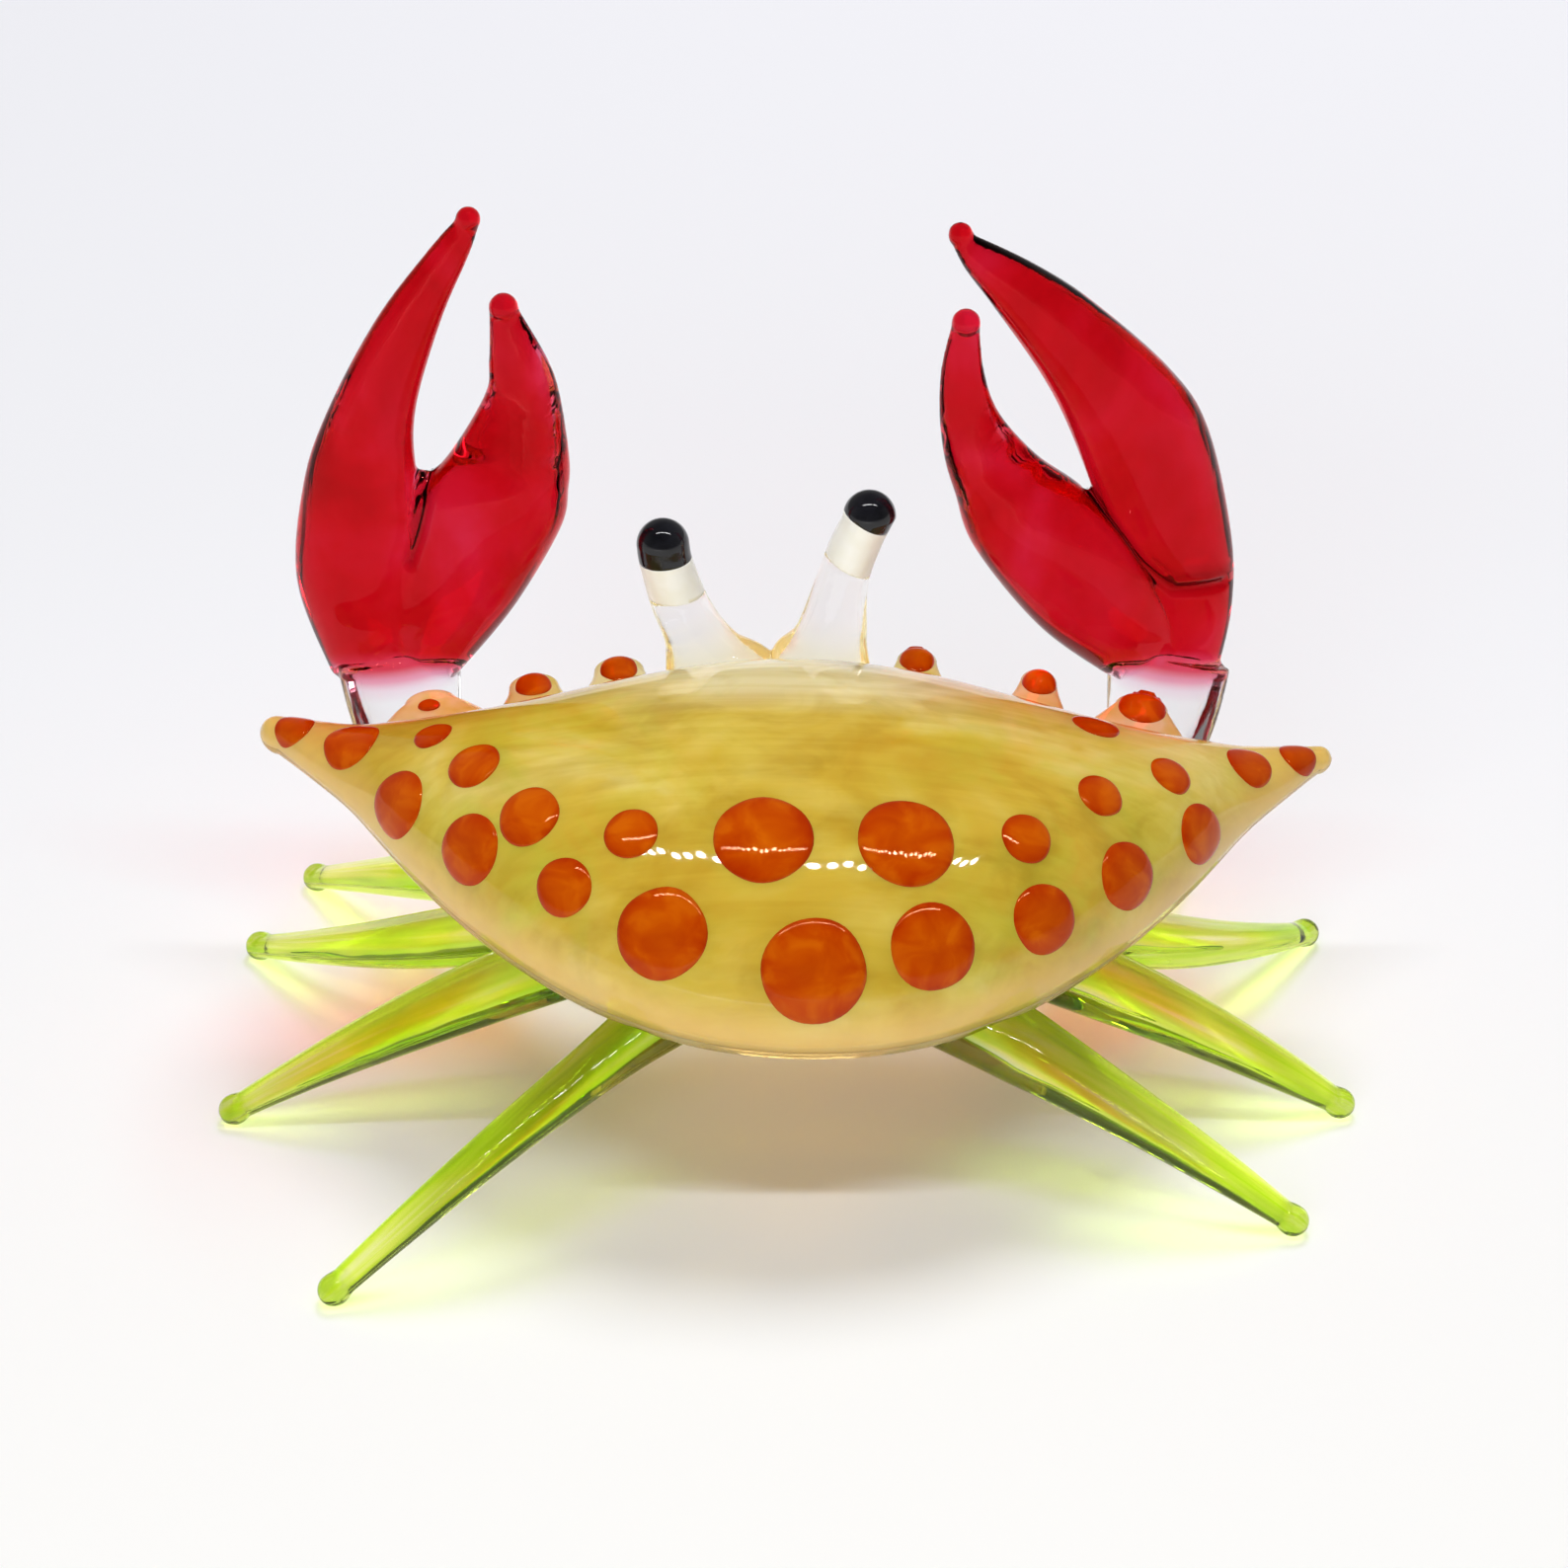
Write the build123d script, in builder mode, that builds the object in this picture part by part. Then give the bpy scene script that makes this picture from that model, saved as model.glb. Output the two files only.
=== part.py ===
from build123d import *
import math
import os

# A flameworked glass crab, in millimetres. It is made of separate gathers of glass,
# each fused to its neighbour where the two touch, and nothing on it moves.
# It faces -Y and its left side is +X. The origin is under the middle of its
# outline, on the surface that its eight feet stand on.

# The shell: a domed back and a shallower underside that meet on one flat rim
shell_half_width = 27.0
shell_rear_depth = 15.0
shell_corner_lead = 3.5
shell_shoulder_depth = 10.0
shell_brow_depth = 5.0
crown_height = 9.0
crown_edge_height = 2.4
underbody_depth = 4.5
underbody_edge_depth = 1.2
shell_centre_across = -1.0
shell_centre_back = -0.8
shell_centre_height = 14.8
shell_tilt = 15.0
shell_roll = 1.9
rear_curve_power = 2.15
crown_curve_power = 2.4
brow_width_share = 0.9
shell_station_shares = (-1.0, -0.85, -0.65, -0.35, 0.0, 0.35, 0.65, 0.85, 1.0)

# The pointed corner at each end of the rim
spike_reach = 5.0
spike_sweep = 3.0
left_spike_tip_radius = 1.25
right_spike_tip_radius = 0.95
spike_neck_share = 0.94
spike_station_shares = (0.0, 0.4, 0.75, 1.0)

# The teeth along the front rim
tooth_reach = 4.0
tooth_rise = 1.3
tooth_half_width = 2.0
tooth_half_height = 1.5
tooth_inset = 1.8
tooth_tip_radius = 0.95
tooth_neck_share = 0.9
# For each tooth: place along the half width, reach, rise and width, then the
# place of its dot along the reach and the radius of the dot
left_tooth_shares = (
    (0.85, 0.95, -0.1, 2.0, 0.45, 0.6),
    (0.615, 0.97, 0.3, 1.05, 0.72, 0.85),
    (0.42, 0.85, 0.7, 1.0, 0.68, 0.8),
)
right_tooth_shares = (
    (0.785, 0.9, 0.75, 1.6, 0.6, 1.1),
    (0.55, 0.97, 1.0, 0.85, 0.72, 0.8),
    (0.27, 0.8, 1.0, 0.85, 0.68, 0.8),
)
tooth_root_spread_share = 0.95
tooth_station_shares = ((0.0, 1.0), (0.5, 0.85), (0.85, 0.55))

# The orange dots melted into the shell, its corners and its teeth
spot_radius = 3.0
spot_proud = 0.28
spot_lip = 0.06
spot_sunk = 0.6
tooth_spot_radius = 1.15
dome_bed_radius = 35.0
tooth_bed_radius = 2.4
# For each dot: place along the half width, place along the rear depth, radius
dome_spot_shares = (
    (-0.02, 0.86, 1.0),
    (0.30, 0.72, 0.88),
    (-0.27, 0.75, 0.83),
    (0.09, 0.40, 0.94),
    (-0.21, 0.39, 0.94),
    (0.37, 0.35, 0.53),
    (-0.47, 0.30, 0.51),
    (0.51, 0.50, 0.58),
    (-0.51, 0.56, 0.68),
    (0.59, 0.20, 0.63),
    (0.72, 0.24, 0.70),
    (0.72, -0.11, 0.55),
    (0.89, -0.08, 0.68),
    (0.82, -0.36, 0.40),
    (-0.70, 0.29, 0.67),
    (-0.64, 0.02, 0.48),
    (-0.88, -0.03, 0.62),
    (-0.81, -0.21, 0.46),
    (-0.65, -0.44, 0.50),
)
# For each dot on a corner: place along the corner, radius
left_spike_spot_shares = ((0.05, 0.60), (0.80, 0.42))
right_spike_spot_shares = ((0.05, 0.52), (0.72, 0.42))

# The clear pair of eye stalks, drawn from one gather on the brow, and the eyes
eye_back = -15.0
eye_root_back = -13.2
eye_root_height = 18.5
left_eye_rise = 10.4
right_eye_rise = 12.3
eye_ball_radius = 1.68
eye_neck_share = 0.96
eye_root_fullness = 0.3
left_white_height = 2.3
right_white_height = 3.0
left_cap_drop = 1.0
right_cap_drop = 0.3
left_eye_lean = -5.0
right_eye_lean = 27.0
# For each section of a stalk: place across and up as shares of its rise, and
# its width as a share of the eye's
left_stalk_shares = (
    (0.365, 0.0, 2.2),
    (0.404, 0.26, 1.96),
    (0.49, 0.395, 1.43),
    (0.606, 0.606, 1.16),
    (0.692, 0.875, 1.03),
    (0.712, 1.0, 1.0),
)
right_stalk_shares = (
    (-0.195, 0.0, 2.1),
    (-0.203, 0.252, 1.72),
    (-0.236, 0.398, 1.37),
    (-0.285, 0.634, 1.03),
    (-0.35, 0.837, 1.0),
    (-0.423, 1.0, 1.0),
)

# The claws: a palm drawn out into the small finger, and the big finger on it
claw_height = 29.7
claw_across = 24.4
claw_back = -18.3
claw_root_height = 18.4
claw_flatness = 0.58
big_finger_tip_radius = 0.8
small_finger_tip_radius = 0.95
# For each flat oval section: place outward and up, and its width
left_big_finger_shares = (
    (0.04, 0.0, 0.21),
    (0.06, 0.22, 0.288),
    (0.057, 0.44, 0.238),
    (0.026, 0.60, 0.183),
    (-0.06, 0.80, 0.135),
    (-0.15, 0.95, 0.088),
    (-0.192, 1.019, 0.05),
)
left_small_finger_shares = (
    (-0.04, 0.0, 0.178),
    (-0.106, 0.16, 0.295),
    (-0.188, 0.34, 0.336),
    (-0.215, 0.43, 0.32),
    (-0.252, 0.50, 0.253),
    (-0.286, 0.64, 0.154),
    (-0.28, 0.72, 0.119),
    (-0.255, 0.83, 0.058),
)
right_big_finger_shares = (
    (0.03, 0.0, 0.15),
    (0.033, 0.15, 0.185),
    (-0.012, 0.32, 0.254),
    (-0.09, 0.56, 0.287),
    (-0.165, 0.69, 0.27),
    (-0.30, 0.84, 0.207),
    (-0.389, 0.92, 0.147),
    (-0.469, 0.986, 0.05),
)
right_small_finger_shares = (
    (-0.06, 0.0, 0.16),
    (-0.138, 0.12, 0.30),
    (-0.251, 0.30, 0.349),
    (-0.33, 0.42, 0.275),
    (-0.394, 0.50, 0.194),
    (-0.442, 0.60, 0.123),
    (-0.458, 0.70, 0.087),
    (-0.453, 0.796, 0.058),
)
# The seam under each big finger: the point where the gap ends, and its slope
left_gap_shares = (-0.06, 0.445)
right_gap_shares = (-0.188, 0.42)
left_seam_slope = 47.0
right_seam_slope = 35.0

# The clear arms that rise from under the shell to the claws
arm_wrist_rise = 1.0
arm_thickness = 4.6
arm_width = 8.2
# For each point: place across and back as shares of the claw's, height as a
# share of the wrist's, width and thickness
arm_shares = (
    (0.53, 0.46, 0.70, 0.68, 1.05),
    (0.70, 0.62, 0.645, 0.70, 1.05),
    (0.86, 0.79, 0.64, 0.77, 1.05),
    (0.965, 0.92, 0.74, 0.88, 1.04),
    (1.0, 1.0, 1.0, 1.0, 1.0),
)

# The eight legs, numbered from the front, each ending in a small ball foot
stance_half_width = 33.9
stance_half_length = 22.3
foot_radius = 0.95
foot_flat_depth = 0.15
hip_height = 11.3
leg_root_width = 5.4
leg_flatness = 0.72
leg_bow = 1.0
# For each leg: its foot across and back as shares of the stance, its hip across
# and back as shares of the shell, then its bow upward and backward
left_leg_shares = (
    (0.92, -0.98, 0.45, -0.33, 0.7, 0.9),
    (1.0, -0.60, 0.44, -0.06, 0.4, 1.9),
    (0.977, 0.22, 0.37, 0.16, 0.9, 0.0),
    (0.743, 1.0, 0.19, 0.44, 1.5, 1.3),
)
right_leg_shares = (
    (0.78, -1.0, 0.43, -0.33, 0.7, 0.9),
    (1.0, -0.67, 0.46, -0.04, 0.4, 2.6),
    (0.99, 0.19, 0.38, 0.14, 0.9, 0.0),
    (0.864, 0.713, 0.22, 0.46, 1.0, 0.6),
)
# For each section of a leg: place from foot to hip, and its width
leg_station_shares = ((0.0, 0.29), (0.2, 0.52), (0.5, 0.84), (0.8, 1.0), (1.0, 0.95))

os.makedirs("parts", exist_ok=True)

left = 1
right = -1
up = Vector(0, 0, 1)

# The rim's own plane: x to the crab's left, y to its rear, z out of the dome
shell_origin = (shell_centre_across, shell_centre_back, shell_centre_height)
shell_plane = Plane(shell_origin).rotated((-shell_tilt, -shell_roll, 0))


def rear_margin(share):
    """How far behind the middle line the rim lies, at a share of the half width."""
    swing = shell_rear_depth + shell_corner_lead
    return shell_rear_depth - swing * abs(share) ** rear_curve_power


def front_margin(share):
    """How far in front of the middle line the rim lies: a brow between two shoulders."""
    turn = math.pi * min(abs(share) / brow_width_share, 1)
    return shell_shoulder_depth + shell_brow_depth * (1 + math.cos(turn)) / 2


def swell_at(share, middle, edge):
    """A height that is full at the middle line and falls to its edge value."""
    return edge + (middle - edge) * (1 - abs(share) ** crown_curve_power)


def shell_station(across):
    """The plane that cuts the shell from front to rear, this far to the left."""
    origin = shell_plane.from_local_coords(Vector(across, 0, 0))
    return Plane(origin=origin, x_dir=shell_plane.y_dir, z_dir=shell_plane.x_dir)


def half_shell(middle, edge, start):
    """One half of the shell, above or below the rim, through its front to rear sections."""
    with BuildPart() as half:
        for share in shell_station_shares:
            rear = rear_margin(share)
            front = -front_margin(share)
            with BuildSketch(shell_station(share * shell_half_width)):
                with BuildLine():
                    bow = EllipticalCenterArc(
                        ((rear + front) / 2, 0),
                        (rear - front) / 2,
                        swell_at(share, middle, edge),
                        start_angle=start,
                        arc_size=180,
                    )
                    Line(bow @ 1, bow @ 0)
                make_face()
        loft()
    return half


def side_spike(side, tip_radius):
    """The corner that runs out of the end of the rim to a rounded point."""
    root_reach = (rear_margin(1) + front_margin(1)) / 2
    root_middle = (rear_margin(1) - front_margin(1)) / 2
    neck = tip_radius * spike_neck_share
    with BuildPart() as spike:
        for share in spike_station_shares:
            across = side * (shell_half_width + spike_reach * share)
            middle = (root_middle - spike_sweep * share, 0)
            reach = root_reach + (neck - root_reach) * share
            rise = crown_edge_height + (neck - crown_edge_height) * share
            fall = underbody_edge_depth + (neck - underbody_edge_depth) * share
            with BuildSketch(shell_station(across)):
                with BuildLine():
                    EllipticalCenterArc(middle, reach, rise, start_angle=0, arc_size=180)
                    EllipticalCenterArc(middle, reach, fall, start_angle=180, arc_size=180)
                make_face()
        loft()
        tip = shell_station(across).from_local_coords(Vector(*middle, 0))
        with Locations(Plane(origin=tip, x_dir=shell_plane.y_dir, z_dir=shell_plane.x_dir)):
            Sphere(tip_radius)
    return spike


def rim_tooth(side, place, reach, rise, width):
    """A short blunt tooth drawn out of the front rim."""
    root_across = side * shell_half_width * place * tooth_root_spread_share
    tip_across = side * shell_half_width * place
    margin = front_margin(place)
    root = shell_plane.from_local_coords(Vector(root_across, tooth_inset - margin, 0))
    tip_back = -margin - tooth_reach * reach + tooth_tip_radius
    tip = shell_plane.from_local_coords(Vector(tip_across, tip_back, tooth_rise * rise))
    run = tip - root
    axis = run.normalized()
    sideways = axis.cross(shell_plane.z_dir)
    with BuildPart() as tooth:
        for along, size in tooth_station_shares:
            with BuildSketch(Plane(origin=root + run * along, x_dir=sideways, z_dir=axis)):
                Ellipse(tooth_half_width * width * size, tooth_half_height * size)
        with BuildSketch(Plane(origin=tip, x_dir=sideways, z_dir=axis)):
            Circle(tooth_tip_radius * tooth_neck_share)
        loft()
        with Locations(Plane(origin=tip, x_dir=sideways, z_dir=axis)):
            Sphere(tooth_tip_radius)
    return tooth


def top_of(piece, across, back):
    """Where a piece is highest above the rim plane at one place, and its normal there."""
    axis = Axis(shell_plane.from_local_coords(Vector(across, back, 0)), shell_plane.z_dir)
    meetings = []
    for face in piece.part.faces():
        meetings += face.find_intersection_points(axis)
    point, normal = max(meetings, key=lambda meeting: shell_plane.to_local_coords(meeting[0]).Z)
    if normal.dot(shell_plane.z_dir) < 0:
        normal = normal * -1
    return point, normal


def spot_bead(piece, across, back, radius, bed_radius):
    """One dot: a round button of glass with a domed top, sunk into the piece under it."""
    point, normal = top_of(piece, across, back)
    dome_fall = spot_proud - spot_lip + radius**2 / (2 * bed_radius)
    dome_radius = (radius**2 + dome_fall**2) / (2 * dome_fall)
    with BuildPart() as bead:
        with Locations(Plane(origin=point, z_dir=normal)):
            Cylinder(radius, 2 * spot_sunk)
        with Locations(point + normal * (spot_proud - dome_radius)):
            Sphere(dome_radius, mode=Mode.INTERSECT)
    return bead


def claw_form(side, sections, tip_radius):
    """One finger of a claw, as a leaf of flat ovals that ends in a small ball."""
    with BuildPart() as form:
        for outward, rise, width in sections:
            across = side * (claw_across + claw_height * outward)
            centre = (across, claw_back, claw_root_height + claw_height * rise)
            with BuildSketch(Plane(centre)):
                Ellipse(claw_height * width / 2, claw_height * width * claw_flatness / 2)
        loft()
        with Locations(centre):
            Sphere(tip_radius)
    return form


def claw_seam(side, gap, slope):
    """The sloping plane between the palm and the big finger."""
    across = side * (claw_across + claw_height * gap[0])
    origin = (across, claw_back, claw_root_height + claw_height * gap[1])
    lean = math.radians(slope)
    return Plane(origin=origin, z_dir=(side * math.sin(lean), 0, math.cos(lean)))


def claw_arm(side):
    """The clear arm, from inside the underbody round an elbow to the claw."""
    wrist_height = claw_root_height + arm_wrist_rise
    points = [
        Vector(side * claw_across * across, claw_back * back, wrist_height * height)
        for across, back, height, width, thickness in arm_shares
    ]
    with BuildLine() as path:
        Spline(points)
    with BuildPart() as arm:
        for point, row in zip(points, arm_shares):
            along = path.edge().tangent_at(point)
            with BuildSketch(Plane(origin=point, x_dir=up.cross(along), z_dir=along)):
                Ellipse(arm_width * row[3] / 2, arm_thickness * row[4] / 2)
        loft()
    return arm


def eye_form(rise, sections):
    """A stalk that narrows to a round eye, before it is cut into its bands."""
    neck = eye_ball_radius * eye_neck_share
    with BuildPart() as form:
        for across, height, width in sections:
            depth = 1 + eye_root_fullness * (1 - height)
            back = eye_back + (eye_root_back - eye_back) * (1 - height) ** 2
            with BuildSketch(Plane((rise * across, back, eye_root_height + rise * height))):
                Ellipse(neck * width, neck * depth)
        loft()
        with Locations((rise * across, eye_back, eye_root_height + rise)):
            Sphere(eye_ball_radius)
    return form


def eye_cut(rise, tip_share, lean, drop):
    """The plane across an eye, this far under the middle of its ball."""
    turn = math.radians(lean)
    along = Vector(-math.sin(turn), 0, math.cos(turn))
    centre = Vector(rise * tip_share, eye_back, eye_root_height + rise)
    return Plane(origin=centre - along * drop, x_dir=(0, 1, 0), z_dir=along)


def leg_form(side, foot_across, foot_back, hip_across, hip_back, bow_up, bow_back):
    """A leaf-shaped leg from its ball foot to its hip in the underbody."""
    foot = Vector(
        side * stance_half_width * foot_across,
        stance_half_length * foot_back,
        foot_radius - foot_flat_depth,
    )
    hip = Vector(
        side * shell_half_width * hip_across + shell_centre_across,
        shell_rear_depth * hip_back,
        hip_height,
    )
    middle = (foot + hip) / 2 + Vector(0, leg_bow * bow_back, leg_bow * bow_up)
    with BuildLine() as path:
        spine = ThreePointArc(foot, middle, hip)
    with BuildPart() as leg:
        for share, width in leg_station_shares:
            along = spine % share
            level = along.cross(up)
            with BuildSketch(Plane(origin=spine @ share, x_dir=level, z_dir=along)):
                Ellipse(leg_root_width * width / 2, leg_root_width * width * leg_flatness / 2)
        loft()
        with Locations(Plane(origin=foot, x_dir=(spine % 0).cross(up), z_dir=spine % 0)):
            Sphere(foot_radius)
        split(bisect_by=Plane.XY, keep=Keep.TOP)
    return leg


def trimmed(form, *neighbours):
    """A piece with the room that its neighbours already take cut away."""
    with BuildPart() as piece:
        add(form.part)
        for neighbour in neighbours:
            add(neighbour.part, mode=Mode.SUBTRACT)
    return piece


def halves(form, cut):
    """The two pieces of a form on either side of a plane, the lower one first."""
    with BuildPart() as lower:
        add(form.part)
        split(bisect_by=cut, keep=Keep.BOTTOM)
    with BuildPart() as upper:
        add(form.part)
        split(bisect_by=cut, keep=Keep.TOP)
    return lower, upper


def save(piece, name):
    """Name a finished piece and write its file."""
    piece.part.label = name
    export_step(piece.part, f"parts/{name}.step")


# The forms of the shell, its corners and its teeth, before their dots are sunk in
carapace_form = half_shell(crown_height, crown_edge_height, 0)
underbody = half_shell(underbody_depth, underbody_edge_depth, 180)
spike_forms = {
    "left": side_spike(left, left_spike_tip_radius),
    "right": side_spike(right, right_spike_tip_radius),
}
spike_beads = {"left": [], "right": []}
tooth_forms = {}

# The dots on the teeth
with BuildPart() as tooth_spots:
    for side, side_name, rows in ((left, "left", left_tooth_shares), (right, "right", right_tooth_shares)):
        for number, (place, reach, rise, width, dot_place, dot_size) in enumerate(rows, 1):
            form = rim_tooth(side, place, reach, rise, width)
            across = side * shell_half_width * place
            back = -front_margin(place) - tooth_reach * reach * dot_place
            add(spot_bead(form, across, back, tooth_spot_radius * dot_size, tooth_bed_radius).part)
            tooth_forms[f"rim_tooth_{side_name}_{number}"] = form

# The dots on the dome and on its corners
with BuildPart() as shell_spots:
    for across, back, size in dome_spot_shares:
        place = (shell_half_width * across, shell_rear_depth * back)
        add(spot_bead(carapace_form, *place, spot_radius * size, dome_bed_radius).part)
    for side, side_name, rows in (
        (left, "left", left_spike_spot_shares),
        (right, "right", right_spike_spot_shares),
    ):
        for along, size in rows:
            across = side * (shell_half_width + spike_reach * along)
            back = (rear_margin(1) - front_margin(1)) / 2 - spike_sweep * along
            spike = spike_forms[side_name]
            bead = spot_bead(spike, across, back, spot_radius * size, tooth_bed_radius)
            spike_beads[side_name].append(bead)
            add(bead.part)

# The shell, its corners and its teeth, with a seat for each dot
carapace = trimmed(carapace_form, shell_spots, tooth_spots)
save(carapace, "carapace")
save(underbody, "underbody")
save(tooth_spots, "tooth_spots")
save(shell_spots, "shell_spots")
for side_name, form in spike_forms.items():
    save(trimmed(form, *spike_beads[side_name]), f"side_spike_{side_name}")
for name, form in tooth_forms.items():
    save(trimmed(form, carapace_form, underbody, tooth_spots, shell_spots), name)

# The arms and the claws
arms = {}
for side, side_name, big_rows, small_rows, gap, slope in (
    (left, "left", left_big_finger_shares, left_small_finger_shares, left_gap_shares, left_seam_slope),
    (
        right,
        "right",
        right_big_finger_shares,
        right_small_finger_shares,
        right_gap_shares,
        right_seam_slope,
    ),
):
    big_form = claw_form(side, big_rows, big_finger_tip_radius)
    palm_form, finger = halves(big_form, claw_seam(side, gap, slope))
    with BuildPart() as palm:
        add(palm_form.part)
        add(claw_form(side, small_rows, small_finger_tip_radius).part)
        add(finger.part, mode=Mode.SUBTRACT)
    arm = trimmed(claw_arm(side), palm, finger, carapace_form, underbody)
    save(finger, f"claw_finger_{side_name}")
    save(palm, f"claw_palm_{side_name}")
    save(arm, f"claw_arm_{side_name}")
    arms[side] = arm

# The legs, each cut by the arm and by the leg in front of it
for side, side_name, rows in ((left, "left", left_leg_shares), (right, "right", right_leg_shares)):
    in_front = arms[side]
    for number, row in enumerate(rows, 1):
        leg = trimmed(leg_form(side, *row), carapace_form, underbody, in_front)
        save(leg, f"leg_{side_name}_{number}")
        in_front = leg

# The eyes: a black cap on a white band on a clear stalk
stalk_forms = []
for side_name, rise, sections, lean, drop, white_height in (
    ("left", left_eye_rise, left_stalk_shares, left_eye_lean, left_cap_drop, left_white_height),
    ("right", right_eye_rise, right_stalk_shares, right_eye_lean, right_cap_drop, right_white_height),
):
    cap_cut = eye_cut(rise, sections[-1][0], lean, drop)
    lower, cap = halves(eye_form(rise, sections), cap_cut)
    stalk_form, white = halves(lower, cap_cut.offset(-white_height))
    save(cap, f"eye_pupil_{side_name}")
    save(white, f"eye_white_{side_name}")
    stalk_forms.append(stalk_form)

with BuildPart() as eye_stalks:
    for stalk_form in stalk_forms:
        add(stalk_form.part)
    add(carapace_form.part, mode=Mode.SUBTRACT)
    add(underbody.part, mode=Mode.SUBTRACT)
save(eye_stalks, "eye_stalks")
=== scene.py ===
import math

import bmesh
import bpy
from mathutils import Matrix, Vector, noise
from mathutils.bvhtree import BVHTree


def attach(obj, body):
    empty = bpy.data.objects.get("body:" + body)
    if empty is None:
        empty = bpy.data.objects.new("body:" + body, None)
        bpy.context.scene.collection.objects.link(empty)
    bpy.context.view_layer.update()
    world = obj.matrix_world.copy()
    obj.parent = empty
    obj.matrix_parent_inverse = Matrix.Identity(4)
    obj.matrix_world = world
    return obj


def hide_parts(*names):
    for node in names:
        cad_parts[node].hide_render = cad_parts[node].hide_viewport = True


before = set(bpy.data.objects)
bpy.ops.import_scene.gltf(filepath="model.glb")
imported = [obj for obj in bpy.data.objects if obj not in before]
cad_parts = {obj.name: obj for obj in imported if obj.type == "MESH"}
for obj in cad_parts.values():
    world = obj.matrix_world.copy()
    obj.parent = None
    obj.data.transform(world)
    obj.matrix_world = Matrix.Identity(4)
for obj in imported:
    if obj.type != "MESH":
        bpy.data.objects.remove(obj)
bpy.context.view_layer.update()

# Up to the stage, lengths are in millimetres in the part's own frame, and MM makes metres of them
MM = 0.001
LEFT = 1
RIGHT = -1
SIDES = {"left": LEFT, "right": RIGHT}
ACROSS = Vector((1, 0, 0))
REARWARD = Vector((0, 1, 0))
UP = Vector((0, 0, 1))

# The shell's rim plane, and the outline and height of the shell over it
SHELL_HALF_WIDTH = 27.0
SHELL_ORIGIN = Vector((-1.0, -0.8, 14.8))
SHELL_TILT = 15.0
SHELL_ROLL = 1.9
REAR_DEPTH = 15.0
CORNER_LEAD = 3.5
SHOULDER_DEPTH = 10.0
BROW_DEPTH = 5.0
BROW_WIDTH_SHARE = 0.9
CROWN_HEIGHT = 9.0
CROWN_EDGE = 2.4
BELLY_DEPTH = 4.5
BELLY_EDGE = 1.2
REAR_POWER = 2.15
CROWN_POWER = 2.4
SPIKE_REACH = 5.0
SPIKE_SWEEP = 3.0
SPIKE_TIP = {LEFT: 1.22, RIGHT: 0.92}
# How much of a corner's sweep goes on in its round tip
TIP_SWEEP = 0.3

shell_turn = (
    Matrix.Rotation(math.radians(-SHELL_TILT), 3, "X") @ Matrix.Rotation(math.radians(-SHELL_ROLL), 3, "Y")
)
shell_x, shell_y, shell_z = shell_turn.col[0], shell_turn.col[1], shell_turn.col[2]


def on_shell(across, back, height):
    """A point given along the rim plane's own axes, in the part's frame."""
    return SHELL_ORIGIN + shell_turn @ Vector((across, back, height))


def set_flow(mesh, pairs):
    """Gives each point of a mesh its flow: a pair of numbers that its material reads."""
    layer = mesh.uv_layers.new(name="flow")
    for loop in mesh.loops:
        layer.data[loop.index].uv = pairs[loop.vertex_index]


def make_piece(name, skins, flow=None):
    """A smooth piece from skins, each a pair of points in millimetres and faces."""
    points = []
    faces = []
    for skin_points, skin_faces in skins:
        shift = len(points)
        points += skin_points
        faces += [tuple(i + shift for i in face) for face in outward(skin_points, skin_faces)]
    mesh = bpy.data.meshes.new(name)
    mesh.from_pydata([p * MM for p in points], [], faces)
    mesh.update()
    if flow:
        set_flow(mesh, flow)
    mesh.polygons.foreach_set("use_smooth", [True] * len(mesh.polygons))
    piece = bpy.data.objects.new(name, mesh)
    bpy.context.scene.collection.objects.link(piece)
    return piece


def skin(rings):
    """Points and faces of a skin over rings of equal size, closed at each end by a fan to the middle."""
    count = len(rings[0])
    points = [p for ring in rings for p in ring]
    faces = []
    for r in range(len(rings) - 1):
        for i in range(count):
            j = (i + 1) % count
            faces.append((r * count + i, r * count + j, (r + 1) * count + j, (r + 1) * count + i))
    for start, flip in ((0, True), ((len(rings) - 1) * count, False)):
        middle = len(points)
        points.append(sum(points[start:start + count], Vector()) / count)
        for i in range(count):
            j = (i + 1) % count
            face = (start + j, start + i, middle) if flip else (start + i, start + j, middle)
            faces.append(face)
    return points, faces


def outward(points, faces):
    """The same faces, all wound so that the skin's volume is positive."""
    volume = 0
    for face in faces:
        a = points[face[0]]
        for k in range(1, len(face) - 1):
            volume += a.dot(points[face[k]].cross(points[face[k + 1]]))
    return faces if volume > 0 else [tuple(reversed(f)) for f in faces]


def eased(rows, steps):
    """Rows of numbers with a smooth curve run through them, this many steps from each to the next."""
    out = []
    for k in range(len(rows) - 1):
        before = rows[max(k - 1, 0)]
        after = rows[min(k + 2, len(rows) - 1)]
        for n in range(steps):
            t = n / steps
            row = []
            for p0, p1, p2, p3 in zip(before, rows[k], rows[k + 1], after):
                row.append(
                    0.5 * (
                        2 * p1 + (p2 - p0) * t + (2 * p0 - 5 * p1 + 4 * p2 - p3) * t ** 2
                        + (3 * p1 - p0 - 3 * p2 + p3) * t ** 3
                    )
                )
            out.append(tuple(row))
    out.append(tuple(rows[-1]))
    return out


def oval(centre, wide, tall, x_way, y_way, count, fullness=2.0):
    """A ring round a centre: an ellipse, or with more fullness a softer rectangle."""
    ring = []
    power = 2 / fullness
    for i in range(count):
        a = 2 * math.pi * i / count
        c, s = math.cos(a), math.sin(a)
        x = math.copysign(abs(c) ** power, c) * wide
        y = math.copysign(abs(s) ** power, s) * tall
        ring.append(centre + x_way * x + y_way * y)
    return ring


# How far each smoothing pass moves the points of a melted piece
FLOW_STRENGTH = 0.5


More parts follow.
